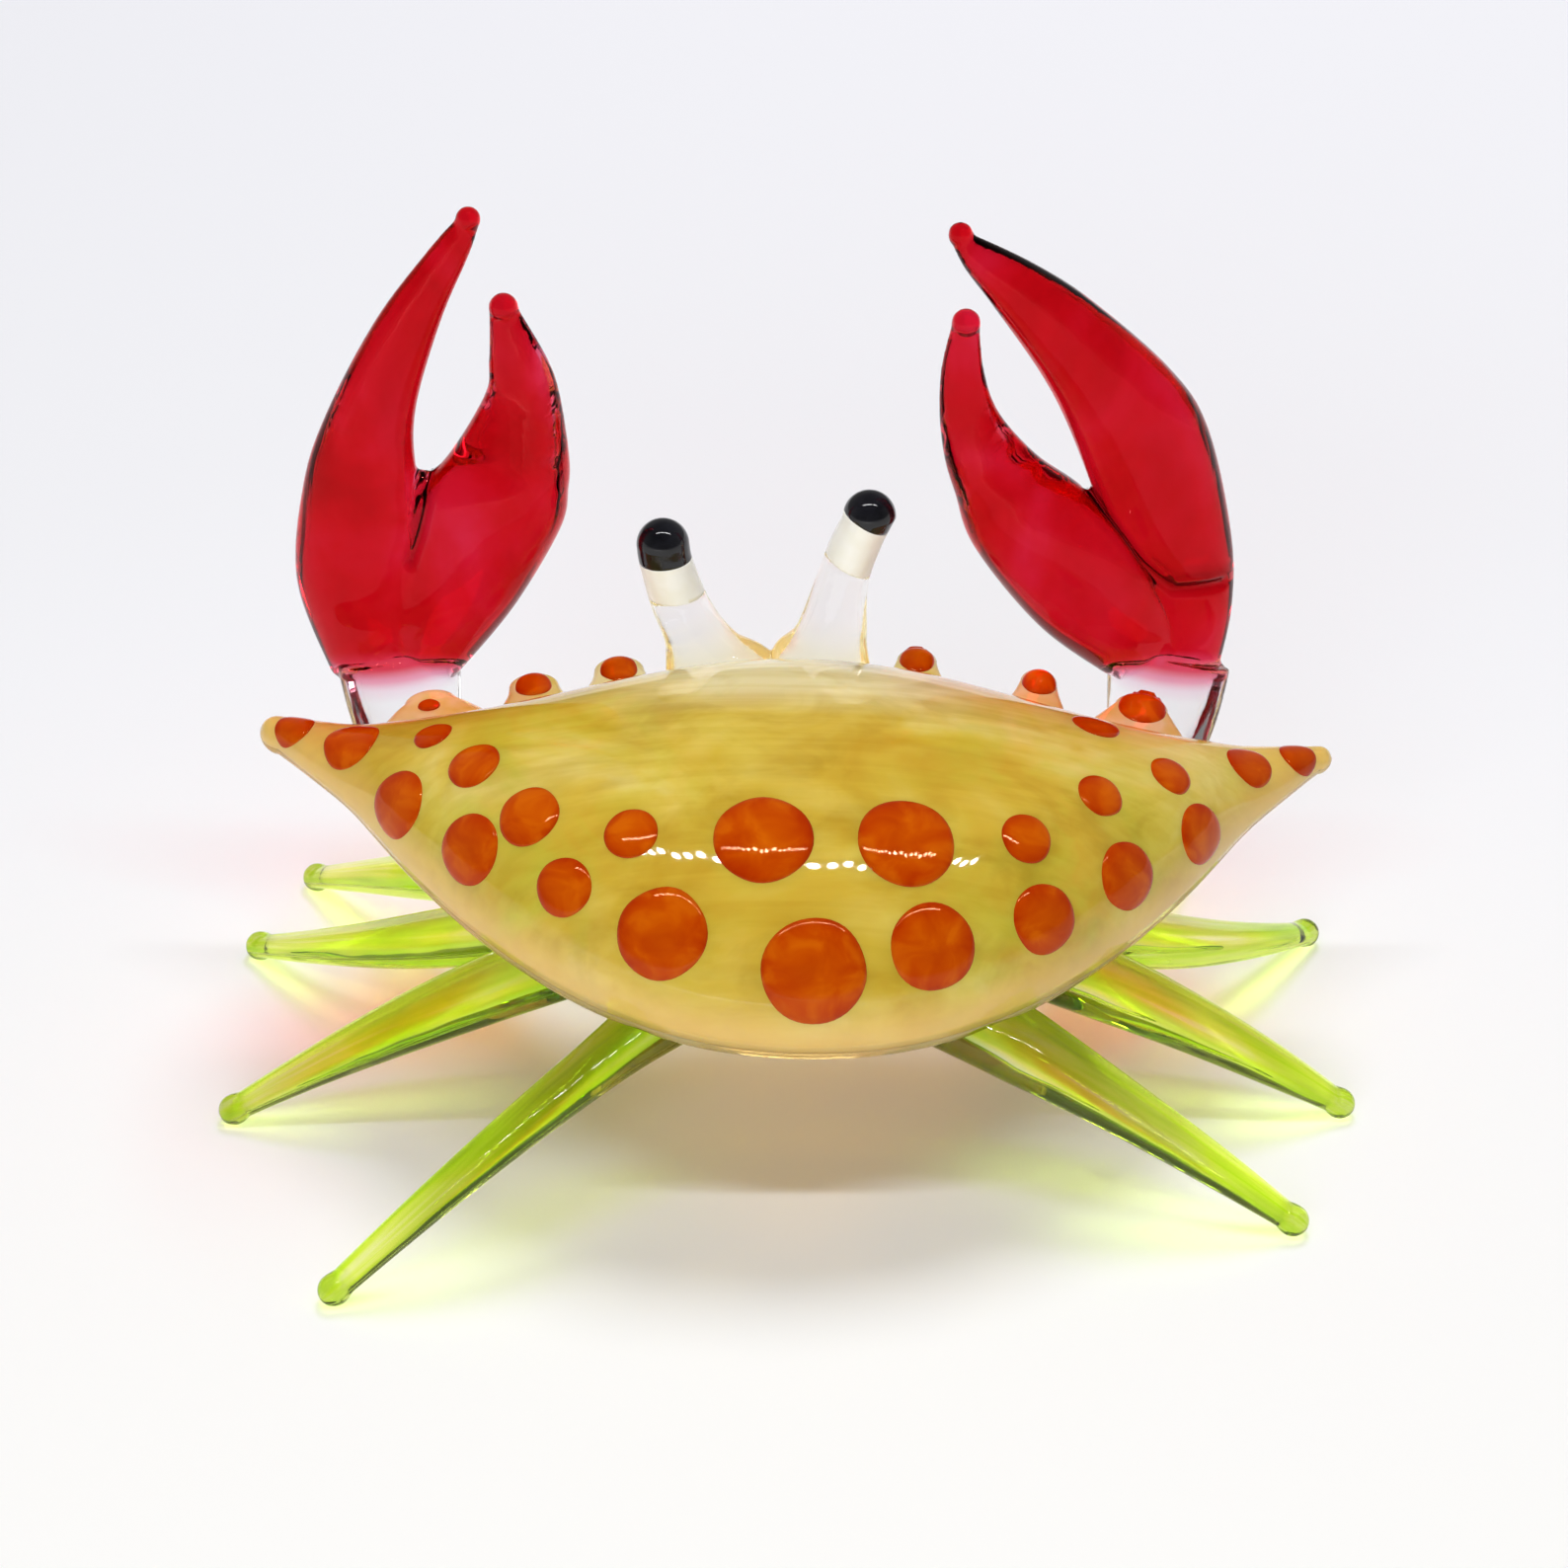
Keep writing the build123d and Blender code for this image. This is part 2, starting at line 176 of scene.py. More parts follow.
def fuse(piece, voxel, passes):
    """Melts the overlapping skins of a piece into one, and lets the joins flow."""
    melt = piece.modifiers.new("melt", "REMESH")
    melt.mode = "VOXEL"
    melt.voxel_size = voxel * MM
    melt.use_smooth_shade = True
    flow = piece.modifiers.new("flow", "SMOOTH")
    flow.factor = FLOW_STRENGTH
    flow.iterations = passes
    bpy.context.view_layer.update()
    depsgraph = bpy.context.evaluated_depsgraph_get()
    mesh = bpy.data.meshes.new_from_object(piece.evaluated_get(depsgraph))
    piece.modifiers.clear()
    old = piece.data
    piece.data = mesh
    bpy.data.meshes.remove(old)
    mesh.polygons.foreach_set("use_smooth", [True] * len(mesh.polygons))


def cut_off(piece, at, normal):
    """Cuts away what lies beyond a plane, and closes the cut."""
    work = bmesh.new()
    work.from_mesh(piece.data)
    result = bmesh.ops.bisect_plane(
        work,
        geom=work.verts[:] + work.edges[:] + work.faces[:],
        plane_co=at * MM,
        plane_no=normal,
        clear_outer=True,
    )
    edges = [e for e in result["geom_cut"] if isinstance(e, bmesh.types.BMEdge)]
    bmesh.ops.holes_fill(work, edges=edges)
    work.to_mesh(piece.data)
    work.free()


def copy_of(piece, name):
    twin = piece.copy()
    twin.data = piece.data.copy()
    twin.name = name
    twin.data.name = name
    bpy.context.scene.collection.objects.link(twin)
    return twin


# The shell


def rear_margin(share):
    return REAR_DEPTH - (REAR_DEPTH + CORNER_LEAD) * abs(share) ** REAR_POWER


def front_margin(share):
    turn = math.pi * min(abs(share) / BROW_WIDTH_SHARE, 1)
    return SHOULDER_DEPTH + BROW_DEPTH * (1 + math.cos(turn)) / 2


def swell(share, middle, edge):
    return edge + (middle - edge) * (1 - abs(share) ** CROWN_POWER)


def shell_section(across):
    """The shell's middle, half depth, height and fall at one place across it, out to the corners' tips."""
    side = LEFT if across > 0 else RIGHT
    tip = SPIKE_TIP[side]
    if abs(across) <= SHELL_HALF_WIDTH:
        share = across / SHELL_HALF_WIDTH
        rear = rear_margin(share)
        front = front_margin(share)
        crown = swell(share, CROWN_HEIGHT, CROWN_EDGE)
        belly = swell(share, BELLY_DEPTH, BELLY_EDGE)
        return ((rear - front) / 2, (rear + front) / 2, crown, belly)
    run = (abs(across) - SHELL_HALF_WIDTH) / SPIKE_REACH
    reach = (rear_margin(1) + front_margin(1)) / 2
    middle = (rear_margin(1) - front_margin(1)) / 2
    if run <= 1:
        return (
            middle - SPIKE_SWEEP * run,
            reach + (tip - reach) * run,
            CROWN_EDGE + (tip - CROWN_EDGE) * run,
            BELLY_EDGE + (tip - BELLY_EDGE) * run,
        )
    over = min((run - 1) * SPIKE_REACH / tip, 1)
    shrink = math.sqrt(max(1 - over ** 2, 0))
    drift = over * SPIKE_SWEEP / SPIKE_REACH * tip * TIP_SWEEP
    return (middle - SPIKE_SWEEP - drift, tip * shrink, tip * shrink, tip * shrink)


SHELL_STEP = 0.4
ROUND_STEPS = 40
SEAM_STEPS = 8
# Where the sections of a corner's round tip lie, as shares of its radius
TIP_PLACES = (0.2, 0.38, 0.54, 0.68, 0.8, 0.89, 0.95, 0.985, 0.999)
# Between these places across, the shell flows into its corners
FLOW_START = 24
FLOW_END = 30
FLOW_PASSES = 8
# The unevenness of glass shaped by hand: its depth, the belly's share of it, and noise cells per millimetre
UNEVENNESS = 0.12
BELLY_UNEVENNESS = 0.5
UNEVENNESS_CELLS = 0.11


def shell_places():
    """Places across the shell, closer together where its tips close."""
    end = SHELL_HALF_WIDTH + SPIKE_REACH
    count = int(end / SHELL_STEP)
    inner = [k * SHELL_STEP for k in range(-count, count + 1)]
    right_tip = [-(end + SPIKE_TIP[RIGHT] * share) for share in reversed(TIP_PLACES)]
    left_tip = [end + SPIKE_TIP[LEFT] * share for share in TIP_PLACES]
    return right_tip + inner + left_tip


def relaxed(rows, passes, moves):
    """Rows with their kinks drawn out where they may move."""
    for _ in range(passes):
        smooth = list(rows)
        for k in range(1, len(rows) - 1):
            if moves(k):
                smooth[k] = tuple((a + 2 * b + c) / 4 for a, b, c in zip(rows[k - 1], rows[k], rows[k + 1]))
        rows = smooth
    return rows


places = shell_places()
sections = [shell_section(x) for x in places]
sections = relaxed(sections, FLOW_PASSES, lambda k: FLOW_START < abs(places[k]) < FLOW_END)


def half_shell(name, upper):
    """The dome or the belly, closed by the flat seam where the two are pressed together."""
    # The dome sinks by as much as it is uneven, and so stays within its solid
    uneven, sink = (1, UNEVENNESS) if upper else (BELLY_UNEVENNESS, 0)
    rings = []
    for x, (middle, reach, crown, belly) in zip(places, sections):
        height = crown if upper else -belly
        ring = []
        for k in range(ROUND_STEPS + 1):
            a = math.pi * k / ROUND_STEPS
            point = on_shell(x, middle + reach * math.cos(a), height * math.sin(a))
            lift = noise.noise(point * UNEVENNESS_CELLS) * UNEVENNESS * math.sin(a) * uneven
            ring.append(point + shell_z * lift - shell_z * sink * math.sin(a))
        for k in range(1, SEAM_STEPS):
            ring.append(on_shell(x, middle - reach + 2 * reach * k / SEAM_STEPS, 0))
        rings.append(ring)
    half_skin = skin(rings)
    return make_piece(name, [half_skin]), half_skin


carapace, dome_skin = half_shell("carapace_glass", True)
underbody, _ = half_shell("underbody_glass", False)
dome_tree = BVHTree.FromPolygons(*dome_skin)

# The teeth along the front rim, and the dots on the teeth and on the shell

TOOTH_REACH = 4.0
TOOTH_RISE = 1.3
TOOTH_HALF_WIDTH = 2.0
TOOTH_HALF_HEIGHT = 1.5
TOOTH_INSET = 1.8
TOOTH_TIP = 0.93
# How much smaller than its solid the end of a tooth is
TOOTH_SLACK = 0.96
# A wide tooth has a wide end: by this power of its width, which counts up to a widest
TOOTH_BLUNTNESS = 1.2
TOOTH_BLUNTEST = 1.7
TOOTH_ROOT_SHARE = 0.95
# Along a tooth: the share of its run, and of its root's width and height
TOOTH_STATIONS = ((0.0, 1.0, 1.0), (0.5, 0.84, 0.84), (0.85, 0.56, 0.62))
TOOTH_STEPS = 8
TOOTH_ROUND = 32
# The rings of a round end stop this share of a step short of its pole
POLE_GAP = 0.2
# For each tooth: place along the half width, reach, rise, width, then the place and radius of its dot
TOOTH_ROWS = {
    "left": (
        (0.85, 0.95, -0.1, 2.3, 0.45, 0.6),
        (0.615, 0.97, 0.3, 1.6, 0.62, 1.0),
        (0.42, 0.85, 0.7, 1.6, 0.58, 1.0),
    ),
    "right": (
        (0.785, 0.9, 0.75, 2.0, 0.6, 1.3),
        (0.55, 0.97, 1.0, 1.25, 0.62, 0.95),
        (0.27, 0.8, 1.0, 1.35, 0.58, 0.95),
    ),
}


def tooth_skin(side, place, reach, rise, width):
    margin = front_margin(place)
    root = on_shell(side * SHELL_HALF_WIDTH * place * TOOTH_ROOT_SHARE, TOOTH_INSET - margin, 0)
    tip_back = -margin - TOOTH_REACH * reach + TOOTH_TIP
    tip = on_shell(side * SHELL_HALF_WIDTH * place, tip_back, TOOTH_RISE * rise)
    run = tip - root
    axis = run.normalized()
    sideways = axis.cross(shell_z).normalized()
    over = sideways.cross(axis)
    blunt = min(width, TOOTH_BLUNTEST) ** TOOTH_BLUNTNESS
    stations = [(t, TOOTH_HALF_WIDTH * width * w, TOOTH_HALF_HEIGHT * h) for t, w, h in TOOTH_STATIONS]
    stations.append((1.0, TOOTH_TIP * TOOTH_SLACK * blunt, TOOTH_TIP * TOOTH_SLACK))
    rings = []
    for t, wide, tall in eased(stations, TOOTH_STEPS):
        rings.append(oval(root + run * t, wide, tall, sideways, over, TOOTH_ROUND))
    for k in range(1, TOOTH_STEPS + 1):
        a = math.pi / 2 * k / (TOOTH_STEPS + POLE_GAP)
        size = TOOTH_TIP * TOOTH_SLACK * math.cos(a)
        centre = tip + axis * TOOTH_TIP * math.sin(a)
        rings.append(oval(centre, size * blunt, size, sideways, over, TOOTH_ROUND))
    return skin(rings)


SPOT_ROUND = 44
# For each ring of a dot: its radius and its height over the surface, as shares
SPOT_RINGS = (
    (0.06, 1.0), (0.25, 0.98), (0.45, 0.92), (0.62, 0.83), (0.76, 0.70), (0.86, 0.55), (0.93, 0.40),
    (0.975, 0.22), (1.0, 0.02), (0.99, -1.0), (0.9, -2.2),
)
# How far out each point of a dot lies
SPOT_FLOW = [(share, 0) for share, _ in SPOT_RINGS for _ in range(SPOT_ROUND)] + [(0, 0), (1, 0)]
SPOT_WAVE = 0.05
SPOT_WAVE_CELLS = 1.1
# A dot is found from this far over the rim plane, and its edge from this far over the glass
LOOK_FROM = 14
EDGE_FROM = 2.5
# A dot's edge follows the glass down by no more than this share of its radius
EDGE_DROP = 0.55


def spot_skin(tree, across, back, radius, proud, seed):
    """A dot of melted glass: a low dome that follows the surface under it, with an uneven edge."""
    hit, normal, _, _ = tree.ray_cast(on_shell(across, back, LOOK_FROM), -shell_z)
    if normal.dot(shell_z) < 0:
        normal = -normal
    x_way = normal.cross(shell_y).normalized()
    y_way = normal.cross(x_way)
    rings = []
    drops = [0.0] * SPOT_ROUND
    for share, rise in SPOT_RINGS:
        ring = []
        for i in range(SPOT_ROUND):
            a = 2 * math.pi * i / SPOT_ROUND
            way = x_way * math.cos(a) + y_way * math.sin(a)
            wave = noise.noise(Vector((math.cos(a), math.sin(a), seed)) * SPOT_WAVE_CELLS)
            target = hit + way * radius * share * (1 + SPOT_WAVE * wave)
            found, _, _, _ = tree.ray_cast(target + normal * EDGE_FROM, -normal)
            if found is not None and (target - found).dot(normal) < EDGE_DROP * radius:
                drops[i] = (target - found).dot(normal)
            ring.append(target + normal * (proud * rise - drops[i]))
        rings.append(ring)
    return skin(rings)


TOOTH_SPOT = 1.15
TOOTH_SPOT_PROUD = 0.18
SPOT_RADIUS = 3.0
SPOT_PROUD = 0.3
CORNER_SPOT_PROUD = 0.2
# For each dot: place along the half width and the rear depth, and radius, as shares
DOME_SPOT_SHARES = (
    (-0.02, 0.86, 1.0), (0.30, 0.72, 0.88), (-0.27, 0.75, 0.83), (0.09, 0.40, 0.94), (-0.21, 0.39, 0.94),
    (0.37, 0.35, 0.53), (-0.47, 0.30, 0.51), (0.51, 0.50, 0.58), (-0.51, 0.56, 0.68), (0.59, 0.20, 0.63),
    (0.72, 0.24, 0.70), (0.72, -0.11, 0.55), (0.89, -0.08, 0.68), (0.82, -0.36, 0.40), (-0.70, 0.29, 0.67),
    (-0.64, 0.02, 0.48), (-0.88, -0.03, 0.62), (-0.81, -0.21, 0.46), (-0.65, -0.44, 0.50),
)
# For each dot on a corner: place along the corner's reach, and radius, as shares
CORNER_SPOT_SHARES = {"left": ((0.05, 0.60), (0.80, 0.42)), "right": ((0.05, 0.52), (0.72, 0.42))}
# These set the dots' uneven edges apart
TOOTH_SIDE_SEED = 10
DOME_SEED = 3.7
CORNER_SIDE_SEED = 50

teeth = []
tooth_spot_skins = []
for side_name, rows in TOOTH_ROWS.items():
    side = SIDES[side_name]
    for number, (place, reach, rise, width, spot_reach, spot_size) in enumerate(rows, 1):
        tooth = tooth_skin(side, place, reach, rise, width)
        teeth.append(make_piece(f"rim_tooth_{side_name}_{number}_glass", [tooth]))
        tree = BVHTree.FromPolygons(*tooth)
        across = side * SHELL_HALF_WIDTH * place
        back = -front_margin(place) - TOOTH_REACH * reach * spot_reach
        radius = TOOTH_SPOT * spot_size
        seed = number + TOOTH_SIDE_SEED * side
        tooth_spot_skins.append(spot_skin(tree, across, back, radius, TOOTH_SPOT_PROUD, seed))
tooth_spots = make_piece("tooth_spots_glass", tooth_spot_skins, SPOT_FLOW * len(tooth_spot_skins))

spot_skins = []
for number, (along, depth, size) in enumerate(DOME_SPOT_SHARES):
    across = SHELL_HALF_WIDTH * along
    back = REAR_DEPTH * depth
    proud = SPOT_PROUD * size ** 0.5
    spot_skins.append(spot_skin(dome_tree, across, back, SPOT_RADIUS * size, proud, number * DOME_SEED))
for side_name, rows in CORNER_SPOT_SHARES.items():
    side = SIDES[side_name]
    for number, (along, size) in enumerate(rows):
        across = side * (SHELL_HALF_WIDTH + SPIKE_REACH * along)
        back = (rear_margin(1) - front_margin(1)) / 2 - SPIKE_SWEEP * along
        seed = number + CORNER_SIDE_SEED * side
        spot_skins.append(spot_skin(dome_tree, across, back, SPOT_RADIUS * size, CORNER_SPOT_PROUD, seed))
shell_spots = make_piece("shell_spots_glass", spot_skins, SPOT_FLOW * len(spot_skins))

# The claws: one melted piece each, from a big leaf, a small leaf and the arm

CLAW_HEIGHT = 29.7
CLAW_ACROSS = 24.4
CLAW_BACK = -18.3
CLAW_ROOT = 18.4
CLAW_FLATNESS = 0.57
CLAW_FULLNESS = 2.2
CLAW_STEPS = 14
CLAW_ROUND = 48
BALL_STEPS = 16
BALL_GAP = 0.3
BALL_ROUND = 28
BIG_TIP = 0.78
SMALL_TIP = 0.92
# Up each leaf: its place outwards and up, and its width, as shares of the claw's height
BIG_LEAF_SHARES = {
    "left": (
        (0.04, 0.0, 0.21), (0.06, 0.22, 0.288), (0.057, 0.44, 0.238), (0.026, 0.60, 0.183),
        (-0.06, 0.80, 0.135), (-0.15, 0.95, 0.088), (-0.192, 1.019, 0.05),
    ),
    "right": (
        (0.03, 0.0, 0.15), (0.033, 0.15, 0.185), (-0.012, 0.32, 0.254), (-0.09, 0.56, 0.287),
        (-0.165, 0.69, 0.27), (-0.30, 0.84, 0.207), (-0.389, 0.92, 0.147), (-0.469, 0.986, 0.05),
    ),
}
SMALL_LEAF_SHARES = {
    "left": (
        (-0.04, 0.0, 0.178), (-0.106, 0.16, 0.295), (-0.188, 0.34, 0.336), (-0.215, 0.43, 0.32),
        (-0.252, 0.50, 0.253), (-0.286, 0.64, 0.154), (-0.28, 0.72, 0.119), (-0.255, 0.83, 0.058),
    ),
    "right": (
        (-0.06, 0.0, 0.16), (-0.138, 0.12, 0.30), (-0.251, 0.30, 0.349), (-0.33, 0.42, 0.275),
        (-0.394, 0.50, 0.194), (-0.442, 0.60, 0.123), (-0.458, 0.70, 0.087), (-0.453, 0.796, 0.058),
    ),
}
# The seam down each claw where the two leaves are pressed together, and the bubble at the foot of the gap,
# with its radius last
SEAM_SHARES = {
    "left": ((-0.10, 0.50), (-0.085, 0.42), (-0.068, 0.355), (-0.045, 0.29)),
    "right": ((-0.188, 0.42), (-0.12, 0.34), (-0.075, 0.28), (-0.006, 0.22), (0.092, 0.228)),
}
BUBBLE_SHARES = {"left": (-0.075, 0.435, 0.034), "right": (-0.19, 0.405, 0.02)}
SEAM_WIDTH = 0.7
SEAM_DEPTH = 0.35


def claw_place(side, out, rise):
    across = side * (CLAW_ACROSS + CLAW_HEIGHT * out)
    return Vector((across, CLAW_BACK, CLAW_ROOT + CLAW_HEIGHT * rise))


def leaf_skins(side, rows, tip):
    """A leaf of level, flattened rings, and the small ball that it ends in."""
    rings = []
    for out, rise, width in eased(rows, CLAW_STEPS):
        centre = claw_place(side, out, rise)
        wide = CLAW_HEIGHT * width / 2
        thick = wide * CLAW_FLATNESS
        rings.append(oval(centre, wide, thick, ACROSS, REARWARD, CLAW_ROUND, CLAW_FULLNESS))
    return skin(rings), ball_skin(centre, tip)


def ball_skin(centre, radius):
    rings = []
    for k in range(BALL_STEPS + 1):
        a = -math.pi / 2 + math.pi * (k + BALL_GAP) / (BALL_STEPS + 2 * BALL_GAP)
        size = radius * math.cos(a)
        rings.append(oval(centre + UP * radius * math.sin(a), size, size, ACROSS, REARWARD, BALL_ROUND))
    return skin(rings)


def seam_reach(point, path):
    """How near a point is to a path in the claw's upright plane: 1 on it, and 0 from the seam's width on."""
    best = SEAM_WIDTH
    for a, b in zip(path, path[1:]):
        run = Vector((b.x - a.x, b.z - a.z))
        out = Vector((point.x - a.x, point.z - a.z))
        share = min(max(out.dot(run) / run.length_squared, 0), 1)
        best = min(best, (out - run * share).length)
    return max(1 - best / SEAM_WIDTH, 0)


# The clear arms from under the shell to the claws

ARM_WRIST = CLAW_ROOT + 1.0
ARM_WIDTH = 8.2
ARM_THICKNESS = 4.6
# How much slimmer than its solid an arm is before it is melted
ARM_SLACK = 0.98
ARM_STEPS = 12
ARM_ROUND = 40
# Along an arm: its place across, back and up, and its width and thickness, as shares
ARM_SHARES = (
    (0.53, 0.46, 0.70, 0.68, 1.05),
    (0.70, 0.62, 0.645, 0.70, 1.05),
    (0.86, 0.79, 0.64, 0.77, 1.05),
    (0.965, 0.92, 0.74, 0.88, 1.04),
    (1.0, 1.0, 1.0, 1.0, 1.0),
)


def swept(rows, count):
    """Rings along rows of (point, half width, half thickness), each square to the way the rows run."""
    rings = []
    for k, (point, wide, tall) in enumerate(rows):
        ahead = rows[min(k + 1, len(rows) - 1)][0]
        behind = rows[max(k - 1, 0)][0]
        along = (ahead - behind).normalized()
        level = UP.cross(along).normalized()
        rings.append(oval(point, wide, tall, level, along.cross(level), count))
    return rings


def arm_skin(side):
    rows = []
    for across, back, height, wide, thick in eased(ARM_SHARES, ARM_STEPS):
        point = Vector((side * CLAW_ACROSS * across, CLAW_BACK * back, ARM_WRIST * height))
        rows.append((point, ARM_WIDTH * wide / 2 * ARM_SLACK, ARM_THICKNESS * thick / 2 * ARM_SLACK))
    return skin(swept(rows, ARM_ROUND))


CLAW_VOXEL = 0.17
CLAW_PASSES = 9
# The red glass begins at the claw's root. One band of painted refraction runs down the outer edge of the
# arm: a dark red band in the clear arm's colour that stands for the red claw seen through it.
RED_LOW = 15.0
RED_SPAN = 35.0
PAINTED_REFRACTION_FROM = 3.1
PAINTED_REFRACTION_TOP = 19.0
PAINTED_REFRACTION_STRENGTH = 0.8


def claw(side_name):
    """An arm and its claw, melted into one piece that turns from clear to red at the claw's root."""
    side = SIDES[side_name]
    bubble_out, bubble_rise, bubble_size = BUBBLE_SHARES[side_name]
    skins = [
        *leaf_skins(side, BIG_LEAF_SHARES[side_name], BIG_TIP),
        *leaf_skins(side, SMALL_LEAF_SHARES[side_name], SMALL_TIP),
        ball_skin(claw_place(side, bubble_out, bubble_rise), CLAW_HEIGHT * bubble_size),
        arm_skin(side),
    ]
    piece = make_piece(f"claw_{side_name}_glass", skins)
    fuse(piece, CLAW_VOXEL, CLAW_PASSES)
    path = [claw_place(side, *shares) for shares in SEAM_SHARES[side_name]]
    for vertex in piece.data.vertices:
        point = vertex.co / MM
        near = seam_reach(point, path)
        inward = SEAM_DEPTH * near ** 2 * (3 - 2 * near)
        vertex.co.y += math.copysign(inward, CLAW_BACK - point.y) * MM
    pairs = []
    for vertex in piece.data.vertices:
        point = vertex.co / MM
        # Out past this place on the arm, and below its top, the colour holds a painted refraction: a dark
        # red band for the red claw seen through the clear arm.
        painted_refraction = side * point.x - CLAW_ACROSS - PAINTED_REFRACTION_FROM
        in_painted_refraction = painted_refraction > 0 and point.z < PAINTED_REFRACTION_TOP
        # dark holds painted shade along the seam crease, and in the arm's edge band it holds a painted
        # refraction.
        dark = min(painted_refraction, PAINTED_REFRACTION_STRENGTH) if in_painted_refraction else seam_reach(point, path)
        pairs.append((dark, (point.z - RED_LOW) / RED_SPAN))
    set_flow(piece.data, pairs)
    return piece


# The eight legs, each a leaf with a crease along it and a ball foot

STANCE_X = 33.9
STANCE_Y = 22.3
FOOT_RADIUS = 0.94
FOOT_FLAT = 0.14
HIP_HEIGHT = 11.3
LEG_WIDTH = 5.4
LEG_FLATNESS = 0.72
LEG_STEPS = 20
LEG_ROUND = 36
# Where the rings of a ball foot's end lie, as shares of its radius
FOOT_PLACES = (0.995, 0.97, 0.92, 0.84, 0.73, 0.6, 0.45, 0.3, 0.15)
# The crease along a leg: its depth as a share of the leaf's, how fast it grows, and how narrow it is
CREASE_DEPTH = 0.10
CREASE_GROWTH = 3
CREASE_SHARPNESS = 12
# For each leg: foot across and back, and hip across and back, as shares, then its bow up and back
LEG_SHARES = {
    "left": (
        (0.92, -0.98, 0.45, -0.33, 0.7, 0.9), (1.0, -0.60, 0.44, -0.06, 0.4, 1.9),
        (0.977, 0.22, 0.37, 0.16, 0.9, 0.0), (0.743, 1.0, 0.19, 0.44, 1.5, 1.3),
    ),
    "right": (
        (0.78, -1.0, 0.43, -0.33, 0.7, 0.9), (1.0, -0.67, 0.46, -0.04, 0.4, 2.6),
        (0.99, 0.19, 0.38, 0.14, 0.9, 0.0), (0.864, 0.713, 0.22, 0.46, 1.0, 0.6),
    ),
}
# Along a leg from its foot: the share of its run, and of its width
LEG_STATIONS = ((0.0, 0.34), (0.2, 0.55), (0.5, 0.85), (0.8, 1.0), (1.0, 1.0))
# Three legs differ: the rearmost one on the left is slender, and the roots of two on the right spread
OWN_LEG_STATIONS = {
    ("left", 4): ((0.0, 0.34), (0.2, 0.43), (0.45, 0.54), (0.7, 0.68), (0.85, 0.86), (1.0, 1.12)),
    ("right", 4): ((0.0, 0.34), (0.2, 0.54), (0.5, 0.80), (0.75, 1.07), (1.0, 1.35)),
    ("right", 3): ((0.0, 0.34), (0.2, 0.62), (0.5, 0.90), (0.75, 1.07), (1.0, 1.20)),
}


def leg(side_name, number):
    side = SIDES[side_name]
    foot_across, foot_back, hip_across, hip_back, bow_up, bow_back = LEG_SHARES[side_name][number - 1]
    foot = Vector((side * STANCE_X * foot_across, STANCE_Y * foot_back, FOOT_RADIUS - FOOT_FLAT))
    hip = Vector((side * SHELL_HALF_WIDTH * hip_across + SHELL_ORIGIN.x, REAR_DEPTH * hip_back, HIP_HEIGHT))
    middle = (foot + hip) / 2 + Vector((0, bow_back, bow_up))
    length = (hip - foot).length
    stations = eased(OWN_LEG_STATIONS.get((side_name, number), LEG_STATIONS), LEG_STEPS)
    foot_way = (middle - foot).normalized()
    rings = []
    flow = []
    for t, share in [(-FOOT_RADIUS / length * c, 0.0) for c in FOOT_PLACES] + stations:
        if t < 0:
            point = foot + foot_way * t * length
            along = foot_way
        else:
            point = foot * (1 - t) * (1 - 2 * t) + middle * 4 * t * (1 - t) + hip * t * (2 * t - 1)
            along = (foot * (4 * t - 3) + middle * (4 - 8 * t) + hip * (4 * t - 1)).normalized()
        width = share * LEG_WIDTH / 2
        ball = math.sqrt(max(FOOT_RADIUS ** 2 - (t * length) ** 2, 0))
        level = along.cross(UP).normalized()
        over = level.cross(along)
        deep = CREASE_DEPTH * min(max(t * CREASE_GROWTH, 0), 1)
        ring = []
        for i in range(LEG_ROUND):
            a = 2 * math.pi * i / LEG_ROUND
            crease = 1 - deep * max(math.sin(a), 0) ** CREASE_SHARPNESS
            leaf_x = width * math.cos(a)
            leaf_y = min(width, LEG_WIDTH / 2) * LEG_FLATNESS * math.sin(a) * crease
            x = max(leaf_x, ball * math.cos(a), key=abs)
            y = max(leaf_y, ball * math.sin(a), key=abs)
            corner = point + level * x + over * y
            corner.z = max(corner.z, 0.0)
            ring.append(corner)
            flow.append((t, i / LEG_ROUND))
        rings.append(ring)
    flow += [(0, 0), (1, 0)]
    return make_piece(f"leg_{side_name}_{number}_glass", [skin(rings)], flow)


# The eyes: clear stalks from one gather, ivory bands and black caps

EYE_BACK = -15.0
EYE_ROOT_BACK = -13.2
EYE_ROOT_HEIGHT = 18.5
EYE_BALL = 1.68
# How much slimmer than its solid an eye is, and how much deeper its stalk is at its foot
EYE_SLACK = 0.97
STALK_DEPTH = 0.3
EYE_STEPS = 12
CAP_STEPS = 10
EYE_ROUND = 40
STALK_VOXEL = 0.12
STALK_PASSES = 4
EYE_RISE = {"left": 10.4, "right": 12.3}
WHITE_HEIGHT = {"left": 2.3, "right": 3.0}
CAP_DROP = {"left": 1.0, "right": 0.3}
EYE_LEAN = {"left": -5.0, "right": 27.0}
# Up each eye: its place across and up, as shares of its rise, and its width
STALK_SHARES = {
    "left": (
        (0.365, 0.0, 2.2), (0.38, 0.29, 2.08), (0.49, 0.41, 1.43), (0.606, 0.606, 1.16),
        (0.692, 0.875, 1.03), (0.712, 1.0, 1.0),
    ),
    "right": (
        (-0.195, 0.0, 2.1), (-0.18, 0.28, 1.84), (-0.236, 0.40, 1.37), (-0.285, 0.634, 1.03),
        (-0.35, 0.837, 1.0), (-0.423, 1.0, 1.0),
    ),
}


